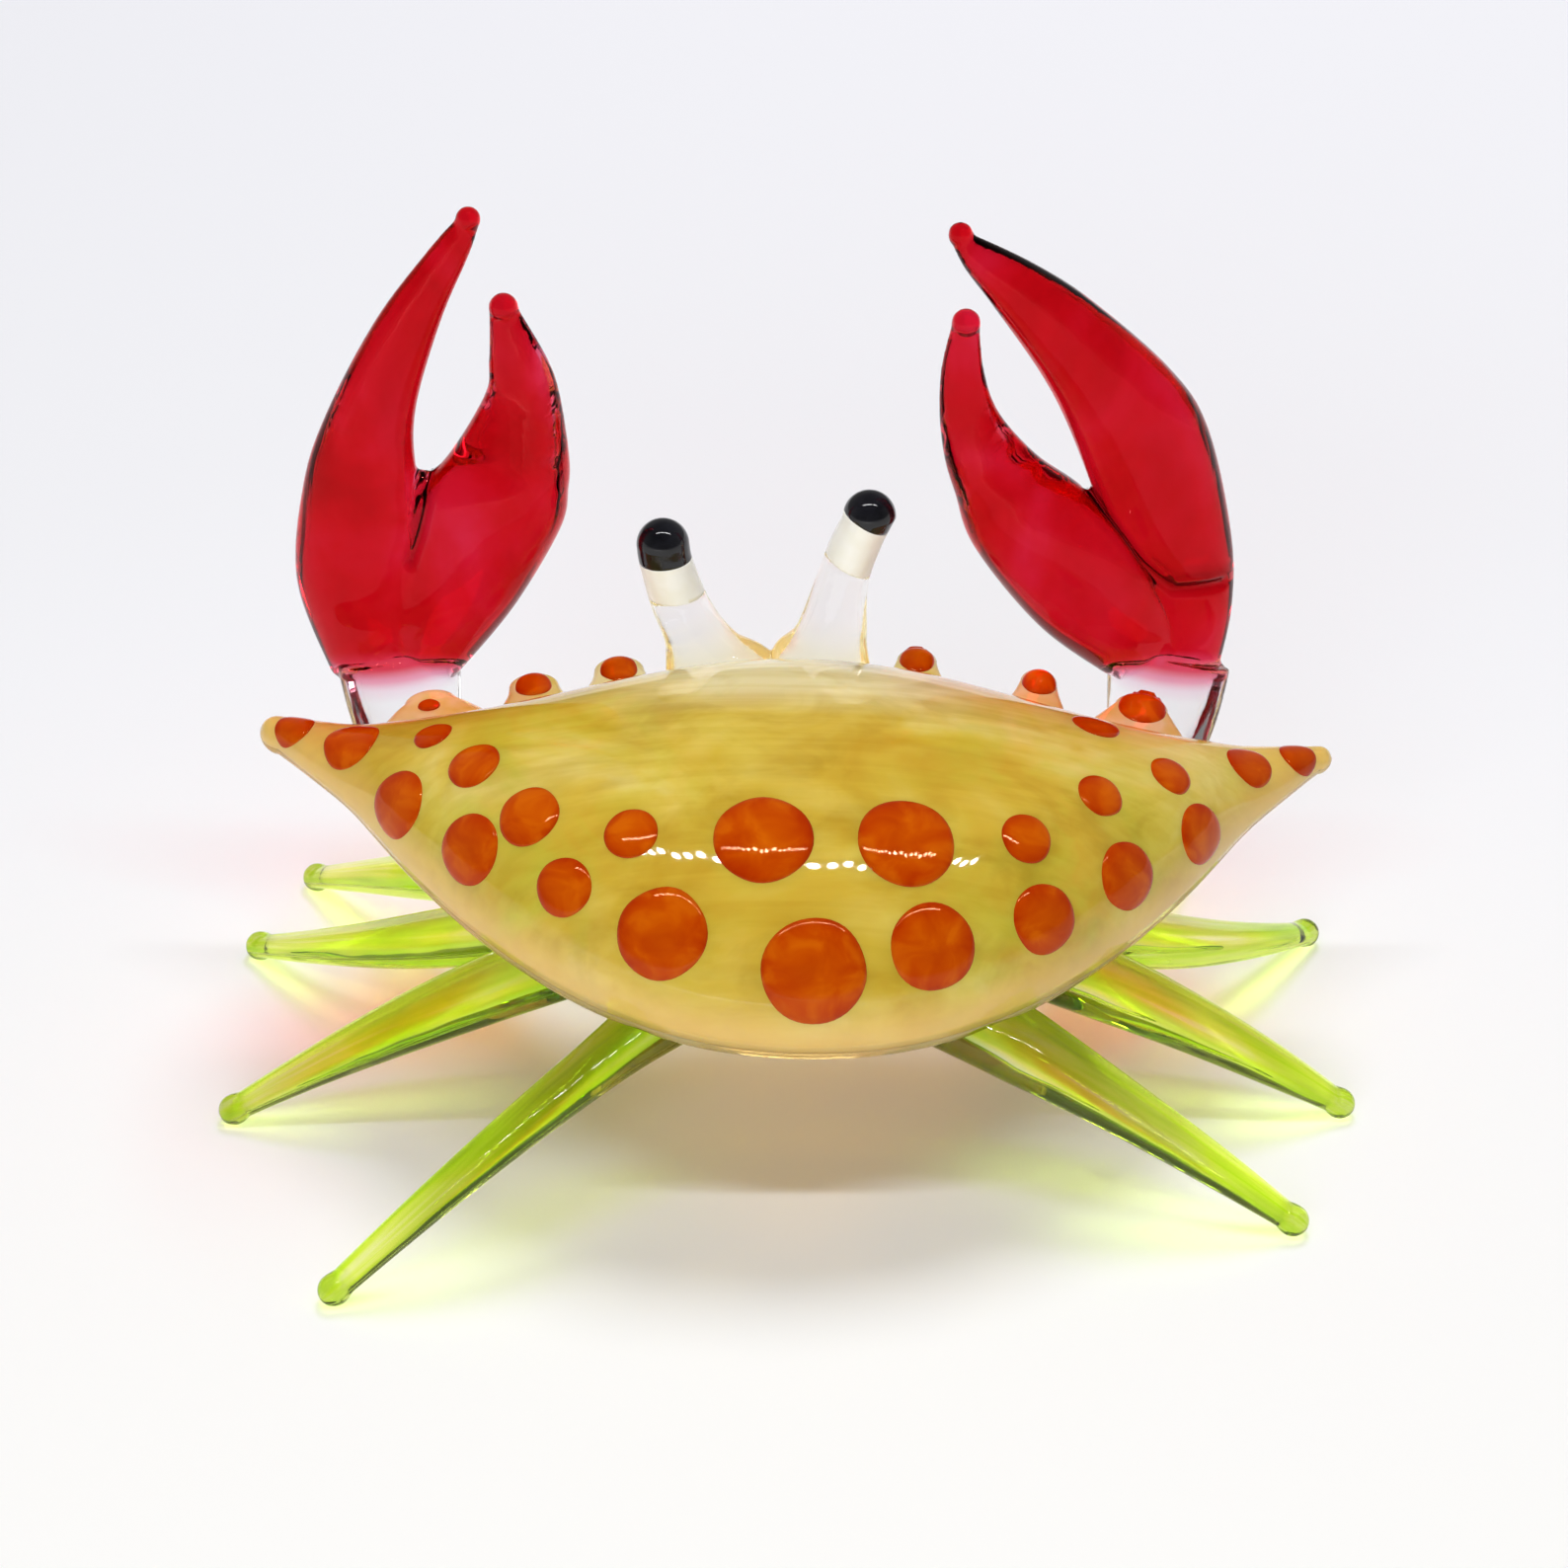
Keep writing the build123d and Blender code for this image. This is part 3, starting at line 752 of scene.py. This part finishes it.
def eye_skin(side_name):
    """The skin of one eye with its stalk, and the middle of its round top."""
    rise = EYE_RISE[side_name]
    rings = []
    for across, height, width in eased(STALK_SHARES[side_name], EYE_STEPS):
        back = EYE_BACK + (EYE_ROOT_BACK - EYE_BACK) * (1 - height) ** 2
        centre = Vector((rise * across, back, EYE_ROOT_HEIGHT + rise * height))
        wide = EYE_BALL * width * EYE_SLACK
        deep = EYE_BALL * (1 + STALK_DEPTH * (1 - height)) * EYE_SLACK
        rings.append(oval(centre, wide, deep, ACROSS, REARWARD, EYE_ROUND))
    for k in range(1, CAP_STEPS + 1):
        a = math.pi / 2 * k / (CAP_STEPS + POLE_GAP)
        size = EYE_BALL * EYE_SLACK * math.cos(a)
        top = centre + UP * EYE_BALL * EYE_SLACK * math.sin(a)
        rings.append(oval(top, size, size, ACROSS, REARWARD, EYE_ROUND))
    return skin(rings), centre


def eye(side_name):
    """The black cap, the white band and the clear stalk of one eye, split from one form by two planes."""
    whole, centre = eye_skin(side_name)
    lean = math.radians(EYE_LEAN[side_name])
    along = Vector((-math.sin(lean), 0, math.cos(lean)))
    cap_at = centre - along * CAP_DROP[side_name]
    band_at = cap_at - along * WHITE_HEIGHT[side_name]
    stalk = make_piece(f"stalk_{side_name}", [whole])
    cap = copy_of(stalk, f"eye_pupil_{side_name}_glass")
    band = copy_of(stalk, f"eye_white_{side_name}_glass")
    cut_off(cap, cap_at, -along)
    cut_off(band, cap_at, along)
    cut_off(band, band_at, -along)
    cut_off(stalk, band_at, along)
    return cap, band, stalk


# Materials

# How deep the slow waves in the skin of a claw and of a leg are, as bumps, in millimetres
WAVE_DEPTH = 0.06
LEG_WAVE_DEPTH = 0.10
# The stalks' glass turns from amber to clear between these heights
STALK_AMBER = 19.5
STALK_CLEAR = 23.5


class Shader:
    """A material's node tree, built one node at a time."""

    def __init__(self, name):
        self.material = bpy.data.materials.new(name)
        self.material.use_nodes = True
        self.tree = self.material.node_tree
        self.tree.nodes.clear()
        self.output = self.add("ShaderNodeOutputMaterial")
        self.principled = self.add("ShaderNodeBsdfPrincipled")
        self.join(self.principled.outputs[0], self.output.inputs["Surface"])

    def add(self, kind, **values):
        node = self.tree.nodes.new(kind)
        for key, value in values.items():
            setattr(node, key, value)
        return node

    def join(self, output, socket):
        self.tree.links.new(output, socket)

    def place(self, stretch, from_flow=False):
        """Coordinates on the object, or along its flow, stretched by a factor each way."""
        if from_flow:
            source = self.add("ShaderNodeUVMap", uv_map="flow").outputs[0]
        else:
            source = self.add("ShaderNodeTexCoord").outputs["Object"]
        mapping = self.add("ShaderNodeMapping")
        mapping.inputs["Scale"].default_value = stretch
        self.join(source, mapping.inputs["Vector"])
        return mapping.outputs[0]

    def give(self, name, value):
        """Sets one of the shader's own sockets, or joins a node's output to it."""
        socket = self.principled.inputs[name]
        if isinstance(value, bpy.types.NodeSocket):
            self.join(value, socket)
        else:
            socket.default_value = value

    def noise(self, stretch, detail, distortion=0.0, from_flow=False):
        node = self.add("ShaderNodeTexNoise")
        node.inputs["Scale"].default_value = 1.0
        node.inputs["Detail"].default_value = detail
        node.inputs["Distortion"].default_value = distortion
        self.join(self.place(stretch, from_flow), node.inputs["Vector"])
        return node.outputs["Fac"]

    def ramp(self, source, stops):
        return colour_ramp(self.tree, source, stops)

    def mix(self, share, one, other, blend="MIX"):
        node = self.add("ShaderNodeMix", data_type="RGBA", blend_type=blend)
        for socket, value in ((node.inputs[0], share), (node.inputs[6], one), (node.inputs[7], other)):
            if isinstance(value, bpy.types.NodeSocket):
                self.join(value, socket)
            elif isinstance(value, (int, float)):
                socket.default_value = value
            else:
                socket.default_value = (*value, 1)
        return node.outputs[2]

    def height(self, axis_way, low, high, origin=Vector()):
        """0 to 1 between two heights over an origin, in millimetres, along a direction of the frame."""
        dot = self.add("ShaderNodeVectorMath", operation="DOT_PRODUCT")
        dot.inputs[1].default_value = axis_way
        self.join(self.add("ShaderNodeTexCoord").outputs["Object"], dot.inputs[0])
        span = self.add("ShaderNodeMapRange")
        start = origin.dot(Vector(axis_way))
        span.inputs["From Min"].default_value = (start + low) * MM
        span.inputs["From Max"].default_value = (start + high) * MM
        self.join(dot.outputs["Value"], span.inputs["Value"])
        return span.outputs[0]

    def flow(self, way):
        """How far along (0) or across (1) its flow a point of the piece lies."""
        split = self.add("ShaderNodeSeparateXYZ")
        self.join(self.add("ShaderNodeUVMap", uv_map="flow").outputs[0], split.inputs[0])
        return split.outputs[way]

    def product(self, one, other):
        node = self.add("ShaderNodeMath", operation="MULTIPLY")
        self.join(one, node.inputs[0])
        self.join(other, node.inputs[1])
        return node.outputs[0]

    def level(self, source, stops):
        """A grey ramp, as a single number."""
        return self.ramp(source, grey(stops))

    def bump(self, source, depth):
        node = self.add("ShaderNodeBump")
        node.inputs["Strength"].default_value = 1.0
        node.inputs["Distance"].default_value = depth * MM
        self.join(source, node.inputs["Height"])
        self.give("Normal", node.outputs[0])

    def let_lamps_through(self, tint):
        """Lamps shine through the glass and colour its shadow."""
        clear = self.add("ShaderNodeBsdfTransparent")
        clear.inputs[0].default_value = (*tint, 1)
        mixed = self.add("ShaderNodeMixShader")
        self.join(self.add("ShaderNodeLightPath").outputs["Is Shadow Ray"], mixed.inputs[0])
        self.join(self.principled.outputs[0], mixed.inputs[1])
        self.join(clear.outputs[0], mixed.inputs[2])
        self.join(mixed.outputs[0], self.output.inputs["Surface"])


def colour_ramp(tree, source, stops):
    """Colours by a number, from stops that each hold a place and a colour."""
    node = tree.nodes.new("ShaderNodeValToRGB")
    elements = node.color_ramp.elements
    while len(elements) < len(stops):
        elements.new(0.5)
    for element, (at, colour) in zip(elements, stops):
        element.position = at
        element.color = (*colour, 1)
    tree.links.new(source, node.inputs[0])
    return node.outputs[0]


def grey(stops):
    return [(at, (value, value, value)) for at, value in stops]


def per_mm(x, y, z):
    """Noise cells per millimetre, as a stretch of coordinates in metres."""
    return (x / MM, y / MM, z / MM)


GLASS_IOR = 1.5


def glass(name, transmission, roughness, ior=GLASS_IOR):
    shader = Shader(name)
    shader.give("Transmission Weight", transmission)
    shader.give("Roughness", roughness)
    shader.give("IOR", ior)
    return shader


# The brow's colour is set between these places back from the shell's origin, and the rim's rises this far
BROW_FRONT = -16.0
BROW_REAR = 2.0
RIM_RISE = 3.6
# Places across the shell, from its right to its left, each with how much of the colour is there
GREEN_SIDES = (
    (0.08, 0.25), (0.22, 0.85), (0.36, 0.25), (0.5, 0.0), (0.64, 0.25), (0.78, 0.85), (0.92, 0.25),
)
BROW_MIDDLE = ((0.26, 0.0), (0.38, 1.0), (0.60, 1.0), (0.72, 0.0))


def shell_glass():
    """Milky yellow glass, greener at its sides and paler at its brow, with a peach rim."""
    shader = glass("shell_glass", transmission=0.0, roughness=0.04)
    clouds = shader.noise(per_mm(0.09, 0.13, 0.13), detail=4.0, distortion=0.5)
    colour = shader.ramp(clouds, (
        (0.34, (0.58, 0.350, 0.025)),
        (0.46, (0.65, 0.440, 0.045)),
        (0.56, (0.72, 0.530, 0.090)),
        (0.70, (0.80, 0.660, 0.220)),
    ))
    across = shader.height(tuple(shell_x), -SHELL_HALF_WIDTH, SHELL_HALF_WIDTH, SHELL_ORIGIN)
    sides = shader.level(across, GREEN_SIDES)
    patchy = shader.noise(per_mm(0.16, 0.16, 0.16), detail=3.0, distortion=0.8)
    patches = shader.level(patchy, ((0.42, 0.05), (0.64, 0.9)))
    colour = shader.mix(shader.product(sides, patches), colour, (0.54, 0.55, 0.050))
    back = shader.height(tuple(shell_y), BROW_FRONT, BROW_REAR, SHELL_ORIGIN)
    brow = shader.level(back, ((0.0, 0.85), (0.50, 0.80), (0.68, 0.0)))
    middle = shader.level(across, BROW_MIDDLE)
    colour = shader.mix(shader.product(brow, middle), colour, (0.82, 0.73, 0.42))
    brushed = shader.noise(per_mm(0.07, 1.5, 0.8), detail=3.0, distortion=0.2)
    streaks = shader.ramp(brushed, ((0.40, (0.90, 0.86, 0.70)), (0.58, (1.0, 1.0, 1.0))))
    colour = shader.mix(0.6, colour, streaks, "MULTIPLY")
    smoke = shader.noise(per_mm(0.16, 0.24, 0.24), detail=4.0, distortion=0.8)
    wisps = shader.ramp(smoke, (
        (0.50, (1.0, 1.0, 1.0)),
        (0.60, (0.90, 0.87, 0.78)),
        (0.68, (0.80, 0.76, 0.62)),
    ))
    colour = shader.mix(0.8, colour, wisps, "MULTIPLY")
    rim = shader.height(tuple(shell_z), 0.0, RIM_RISE, SHELL_ORIGIN)
    near_rim = shader.level(rim, ((0.0, 0.9), (0.35, 0.6), (0.8, 0.0)))
    shader.give("Base Color", shader.mix(near_rim, colour, (0.82, 0.52, 0.16)))
    shader.give("Subsurface Weight", 0.4)
    shader.give("Subsurface Radius", (1.0, 0.75, 0.30))
    shader.give("Subsurface Scale", 0.0025)
    shader.give("Coat Weight", 0.3)
    shader.give("Coat Roughness", 0.01)
    shader.let_lamps_through((0.60, 0.51, 0.14))
    return shader.material


def underbody_glass():
    shader = glass("underbody_glass", transmission=0.55, roughness=0.06)
    clouds = shader.noise(per_mm(0.14, 0.2, 0.2), detail=3.0, distortion=0.3)
    shader.give("Base Color", shader.ramp(clouds, ((0.35, (0.80, 0.56, 0.16)), (0.65, (0.88, 0.72, 0.34)))))
    shader.let_lamps_through((0.62, 0.53, 0.16))
    return shader.material


def rim_glass():
    shader = glass("rim_glass", transmission=0.35, roughness=0.03)
    clouds = shader.noise(per_mm(0.4, 0.4, 0.4), detail=2.0, distortion=0.2)
    shader.give("Base Color", shader.ramp(clouds, (
        (0.35, (0.74, 0.60, 0.14)),
        (0.50, (0.82, 0.70, 0.28)),
        (0.65, (0.88, 0.80, 0.48)),
    )))
    shader.let_lamps_through((0.9, 0.82, 0.6))
    return shader.material


def spot_glass():
    """Orange glass, with more orange at the heart of each dot and redder towards its edge."""
    shader = glass("spot_glass", transmission=0.0, roughness=0.04)
    from_heart = shader.ramp(shader.flow(0), (
        (0.0, (0.57, 0.090, 0.0)),
        (0.60, (0.52, 0.065, 0.0)),
        (0.88, (0.44, 0.032, 0.0)),
        (1.0, (0.36, 0.018, 0.0)),
    ))
    clouds = shader.noise(per_mm(0.45, 0.45, 0.45), detail=3.0, distortion=0.6)
    cloudy = shader.ramp(clouds, (
        (0.36, (0.40, 0.026, 0.0)),
        (0.52, (0.52, 0.065, 0.0)),
        (0.66, (0.68, 0.150, 0.002)),
    ))
    shader.give("Base Color", shader.mix(0.5, from_heart, cloudy))
    shader.give("Specular IOR Level", 0.4)
    shader.give("Specular Tint", (1.0, 0.55, 0.30, 1.0))
    return shader.material


def claw_glass():
    """Ruby glass with rosy clouds, with painted shade along the seam of its two leaves and a painted
    refraction down the arm's outer edge, and clear below its root.
    """
    shader = glass("claw_glass", transmission=1.0, roughness=0.0, ior=1.47)
    clouds = shader.noise(per_mm(0.16, 0.16, 0.10), detail=5.0, distortion=0.7)
    base = shader.ramp(clouds, (
        (0.34, (0.46, 0.0015, 0.004)),
        (0.50, (0.60, 0.0030, 0.009)),
        (0.60, (0.66, 0.0070, 0.025)),
        (0.72, (0.72, 0.0180, 0.060)),
    ))
    root = shader.ramp(shader.flow(1), (
        (0.075, (0.93, 0.92, 0.93)),
        (0.098, (0.90, 0.62, 0.74)),
        (0.112, (0.80, 0.16, 0.28)),
        (0.135, (0.62, 0.004, 0.012)),
    ))
    redness = shader.level(shader.flow(1), ((0.118, 0.0), (0.145, 1.0)))
    colour = shader.mix(redness, root, base)
    # Painted shade along the seam crease and the arm's painted refraction both darken the colour toward a
    # deep red.
    seam = shader.level(shader.flow(0), ((0.0, 0.0), (0.55, 0.45), (1.0, 0.9)))
    shader.give("Base Color", shader.mix(seam, colour, (0.20, 0.0, 0.002)))
    shader.bump(shader.noise(per_mm(0.25, 0.25, 0.12), detail=2.0), WAVE_DEPTH)
    shader.give("Specular Tint", (0.8, 0.15, 0.14, 1.0))
    shader.let_lamps_through((0.90, 0.42, 0.44))
    return shader.material


def leg_glass():
    """Lime glass with clear streaks along it, dark green at its root and its foot."""
    shader = glass("leg_glass", transmission=1.0, roughness=0.0, ior=1.38)
    streaks = shader.noise((1.4, 7.0, 1.0), detail=3.0, distortion=0.6, from_flow=True)
    base = shader.ramp(streaks, (
        (0.30, (0.30, 0.58, 0.006)),
        (0.42, (0.54, 0.86, 0.016)),
        (0.50, (0.74, 0.93, 0.055)),
        (0.58, (0.90, 0.95, 0.350)),
        (0.66, (0.97, 0.97, 0.800)),
    ))
    root = shader.level(shader.flow(0), ((0.60, 0.0), (0.80, 0.4), (0.92, 0.7)))
    colour = shader.mix(root, base, (0.10, 0.32, 0.015))
    foot = shader.level(shader.flow(0), ((0.0, 0.35), (0.02, 0.35), (0.05, 0.0)))
    shader.give("Base Color", shader.mix(foot, colour, (0.20, 0.36, 0.01)))
    shader.bump(shader.noise((3.0, 5.0, 1.0), detail=2.0, from_flow=True), LEG_WAVE_DEPTH)
    shader.let_lamps_through((0.72, 0.75, 0.56))
    return shader.material


def stalk_glass():
    shader = glass("stalk_glass", transmission=1.0, roughness=0.0)
    low = shader.height((0, 0, 1), STALK_AMBER, STALK_CLEAR)
    shader.give("Base Color", shader.ramp(low, ((0.0, (0.90, 0.86, 0.52)), (1.0, (0.97, 0.96, 0.96)))))
    shader.let_lamps_through((0.94, 0.92, 0.86))
    return shader.material


def opaque_glass(name, dark, pale):
    shader = glass(name, transmission=0.0, roughness=0.05)
    clouds = shader.noise(per_mm(0.6, 0.6, 0.6), detail=3.0, distortion=0.3)
    shader.give("Base Color", shader.ramp(clouds, ((0.4, dark), (0.65, pale))))
    return shader.material


MATERIALS = {
    "shell_glass": shell_glass(),
    "underbody_glass": underbody_glass(),
    "rim_glass": rim_glass(),
    "spot_glass": spot_glass(),
    "claw_glass": claw_glass(),
    "leg_glass": leg_glass(),
    "stalk_glass": stalk_glass(),
    "eye_white_glass": opaque_glass("eye_white_glass", (0.93, 0.92, 0.84), (0.96, 0.955, 0.91)),
    "eye_black_glass": opaque_glass("eye_black_glass", (0.004, 0.004, 0.006), (0.010, 0.010, 0.014)),
}


def finish_piece(piece, slot, *nodes):
    piece.data.materials.clear()
    piece.data.materials.append(MATERIALS[slot])
    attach(piece, "root")
    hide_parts(*nodes)


for tooth in teeth:
    finish_piece(tooth, "rim_glass", tooth.name.removesuffix("_glass"))

finish_piece(carapace, "shell_glass", "carapace", "side_spike_left", "side_spike_right")
finish_piece(underbody, "underbody_glass", "underbody")
finish_piece(tooth_spots, "spot_glass", "tooth_spots")
finish_piece(shell_spots, "spot_glass", "shell_spots")
stalks = []
for side_name in SIDES:
    claw_nodes = [f"claw_{part}_{side_name}" for part in ("palm", "finger", "arm")]
    finish_piece(claw(side_name), "claw_glass", *claw_nodes)
    for number in (1, 2, 3, 4):
        finish_piece(leg(side_name, number), "leg_glass", f"leg_{side_name}_{number}")
    cap, band, stalk = eye(side_name)
    finish_piece(cap, "eye_black_glass", f"eye_pupil_{side_name}")
    finish_piece(band, "eye_white_glass", f"eye_white_{side_name}")
    stalks.append(stalk)

stalk_skins = []
for stalk in stalks:
    mesh = stalk.data
    stalk_skins.append(([v.co / MM for v in mesh.vertices], [tuple(p.vertices) for p in mesh.polygons]))
    bpy.data.objects.remove(stalk)
eye_stalks = make_piece("eye_stalks_glass", stalk_skins)
fuse(eye_stalks, STALK_VOXEL, STALK_PASSES)
finish_piece(eye_stalks, "stalk_glass", "eye_stalks")

# The stage, in metres: a pale floor, soft light from the room and two soft lamps, and a row of small lamps

FLOOR_SIZE = 12.0
# The floor's colour turns from cool to warm between these places from front to rear, in millimetres
FLOOR_COOL = -220
FLOOR_WARM = 60
# How brightly the floor shows by itself, by its distance from the part as a share of the reach
FLOOR_REACH = 1.0
FLOOR_GLOW = ((0.0, 0.0), (0.10, 0.03), (0.30, 0.22), (1.0, 0.62))


def seen(tree):
    """1 for what the camera sees, also through glass and in gloss, and 0 for light that falls on things."""
    path = tree.nodes.new("ShaderNodeLightPath")
    total = path.outputs["Is Camera Ray"]
    for name in ("Is Glossy Ray", "Is Transmission Ray"):
        either = tree.nodes.new("ShaderNodeMath")
        either.operation = "MAXIMUM"
        tree.links.new(total, either.inputs[0])
        tree.links.new(path.outputs[name], either.inputs[1])
        total = either.outputs[0]
    return total


def floor():
    half = FLOOR_SIZE / 2
    mesh = bpy.data.meshes.new("floor")
    corners = [(-half, -half, 0), (half, -half, 0), (half, half, 0), (-half, half, 0)]
    mesh.from_pydata(corners, [], [(0, 1, 2, 3)])
    piece = bpy.data.objects.new("floor", mesh)
    bpy.context.scene.collection.objects.link(piece)
    shader = Shader("floor_paper")
    shader.give("Base Color", shader.ramp(shader.height((0, 1, 0), FLOOR_COOL, FLOOR_WARM), (
        (0.0, (0.80, 0.80, 0.85)),
        (0.6, (0.88, 0.88, 0.91)),
        (1.0, (0.94, 0.935, 0.915)),
    )))
    shader.give("Roughness", 0.9)
    shader.give("Specular IOR Level", 0.1)
    shader.give("Emission Color", (1.0, 1.0, 1.0, 1.0))
    away = shader.add("ShaderNodeVectorMath", operation="LENGTH")
    shader.join(shader.place((1 / FLOOR_REACH,) * 3), away.inputs[0])
    glow = shader.product(shader.level(away.outputs["Value"], FLOOR_GLOW), seen(shader.tree))
    shader.give("Emission Strength", glow)
    mesh.materials.append(shader.material)


# How bright the room is, by how high one looks, and by how far round to the rear of the part
ROOM_BY_HEIGHT = ((0.0, 0.95), (0.05, 0.90), (0.09, 0.26), (0.45, 0.22), (0.75, 0.12), (1.0, 0.10))
ROOM_BY_REAR = ((0.35, 1.0), (0.50, 0.85), (0.78, 0.45))


def room():
    """A pale room, darker on the rear side, where it is mirrored in the glass."""
    world = bpy.data.worlds.new("room")
    bpy.context.scene.world = world
    world.use_nodes = True
    tree = world.node_tree
    tree.nodes.clear()
    output = tree.nodes.new("ShaderNodeOutputWorld")
    background = tree.nodes.new("ShaderNodeBackground")
    split = tree.nodes.new("ShaderNodeSeparateXYZ")
    tree.links.new(tree.nodes.new("ShaderNodeTexCoord").outputs["Generated"], split.inputs[0])
    rearward = tree.nodes.new("ShaderNodeMapRange")
    rearward.inputs["From Min"].default_value = -1.0
    tree.links.new(split.outputs["Y"], rearward.inputs["Value"])
    both = tree.nodes.new("ShaderNodeMath")
    both.operation = "MULTIPLY"
    levels = ((split.outputs["Z"], ROOM_BY_HEIGHT), (rearward.outputs[0], ROOM_BY_REAR))
    for number, (source, stops) in enumerate(levels):
        tree.links.new(colour_ramp(tree, source, grey(stops)), both.inputs[number])
    tree.links.new(both.outputs[0], background.inputs["Color"])
    background.inputs["Strength"].default_value = 1.0
    tree.links.new(background.outputs[0], output.inputs["Surface"])


# The row of small lamps overhead, and two soft lamps that nothing mirrors
LAMP_COUNT = 29
LAMP_SPAN = 0.30
LAMP_ROW = Vector((-0.012, 0.054, 0.312))
# The lamps lie a little out of line: by how much, and how far the sine turns from each to the next
LAMP_SWAY = 0.004
LAMP_TURN = 2.1
LAMP_WIDTH = 0.0056
LAMP_LENGTH = 0.0115
LAMP_POWER = 0.013
# For each soft lamp: its place, size and power
SOFT_LAMPS = {
    "soft_top": (Vector((-0.05, -0.31, 0.53)), 0.22, 2.1),
    "soft_rear": (Vector((0.15, 0.55, 0.15)), 0.40, 2.0),
}


def area_lamp(name, place, target, width, length, power):
    light = bpy.data.lights.new(name, "AREA")
    light.shape = "ELLIPSE"
    light.size = width
    light.size_y = length
    light.energy = power
    lamp = bpy.data.objects.new(name, light)
    lamp.location = place
    lamp.rotation_euler = (target - place).to_track_quat("-Z", "Y").to_euler()
    bpy.context.scene.collection.objects.link(lamp)
    return lamp


def lamps():
    for k in range(LAMP_COUNT):
        along = LAMP_SPAN * (k / (LAMP_COUNT - 1) - 0.5)
        place = LAMP_ROW + Vector((along, LAMP_SWAY * math.sin(k * LAMP_TURN), 0))
        area_lamp(f"row_lamp_{k}", place, place - UP, LAMP_WIDTH, LAMP_LENGTH, LAMP_POWER)
    for name, (place, size, power) in SOFT_LAMPS.items():
        soft = area_lamp(name, place, Vector(), size, size, power)
        soft.visible_glossy = False


# The camera looks from behind the crab and 30 degrees up, as the photo does
CAMERA_PLACE = Vector((0, 0.17907, 0.124))
CAMERA_TARGET = Vector((0, -0.0028, 0.019))
CAMERA_LENS = 80.93
CAMERA_SENSOR = 36.0
CAMERA_CLIP = 0.01


def camera():
    data = bpy.data.cameras.new("camera")
    data.lens = CAMERA_LENS
    data.sensor_width = CAMERA_SENSOR
    data.clip_start = CAMERA_CLIP
    eye_point = bpy.data.objects.new("camera", data)
    eye_point.location = CAMERA_PLACE
    eye_point.rotation_euler = (CAMERA_TARGET - CAMERA_PLACE).to_track_quat("-Z", "Y").to_euler()
    bpy.context.scene.collection.objects.link(eye_point)
    bpy.context.scene.camera = eye_point


floor()
room()
lamps()
camera()
bpy.context.scene.view_settings.view_transform = "Standard"
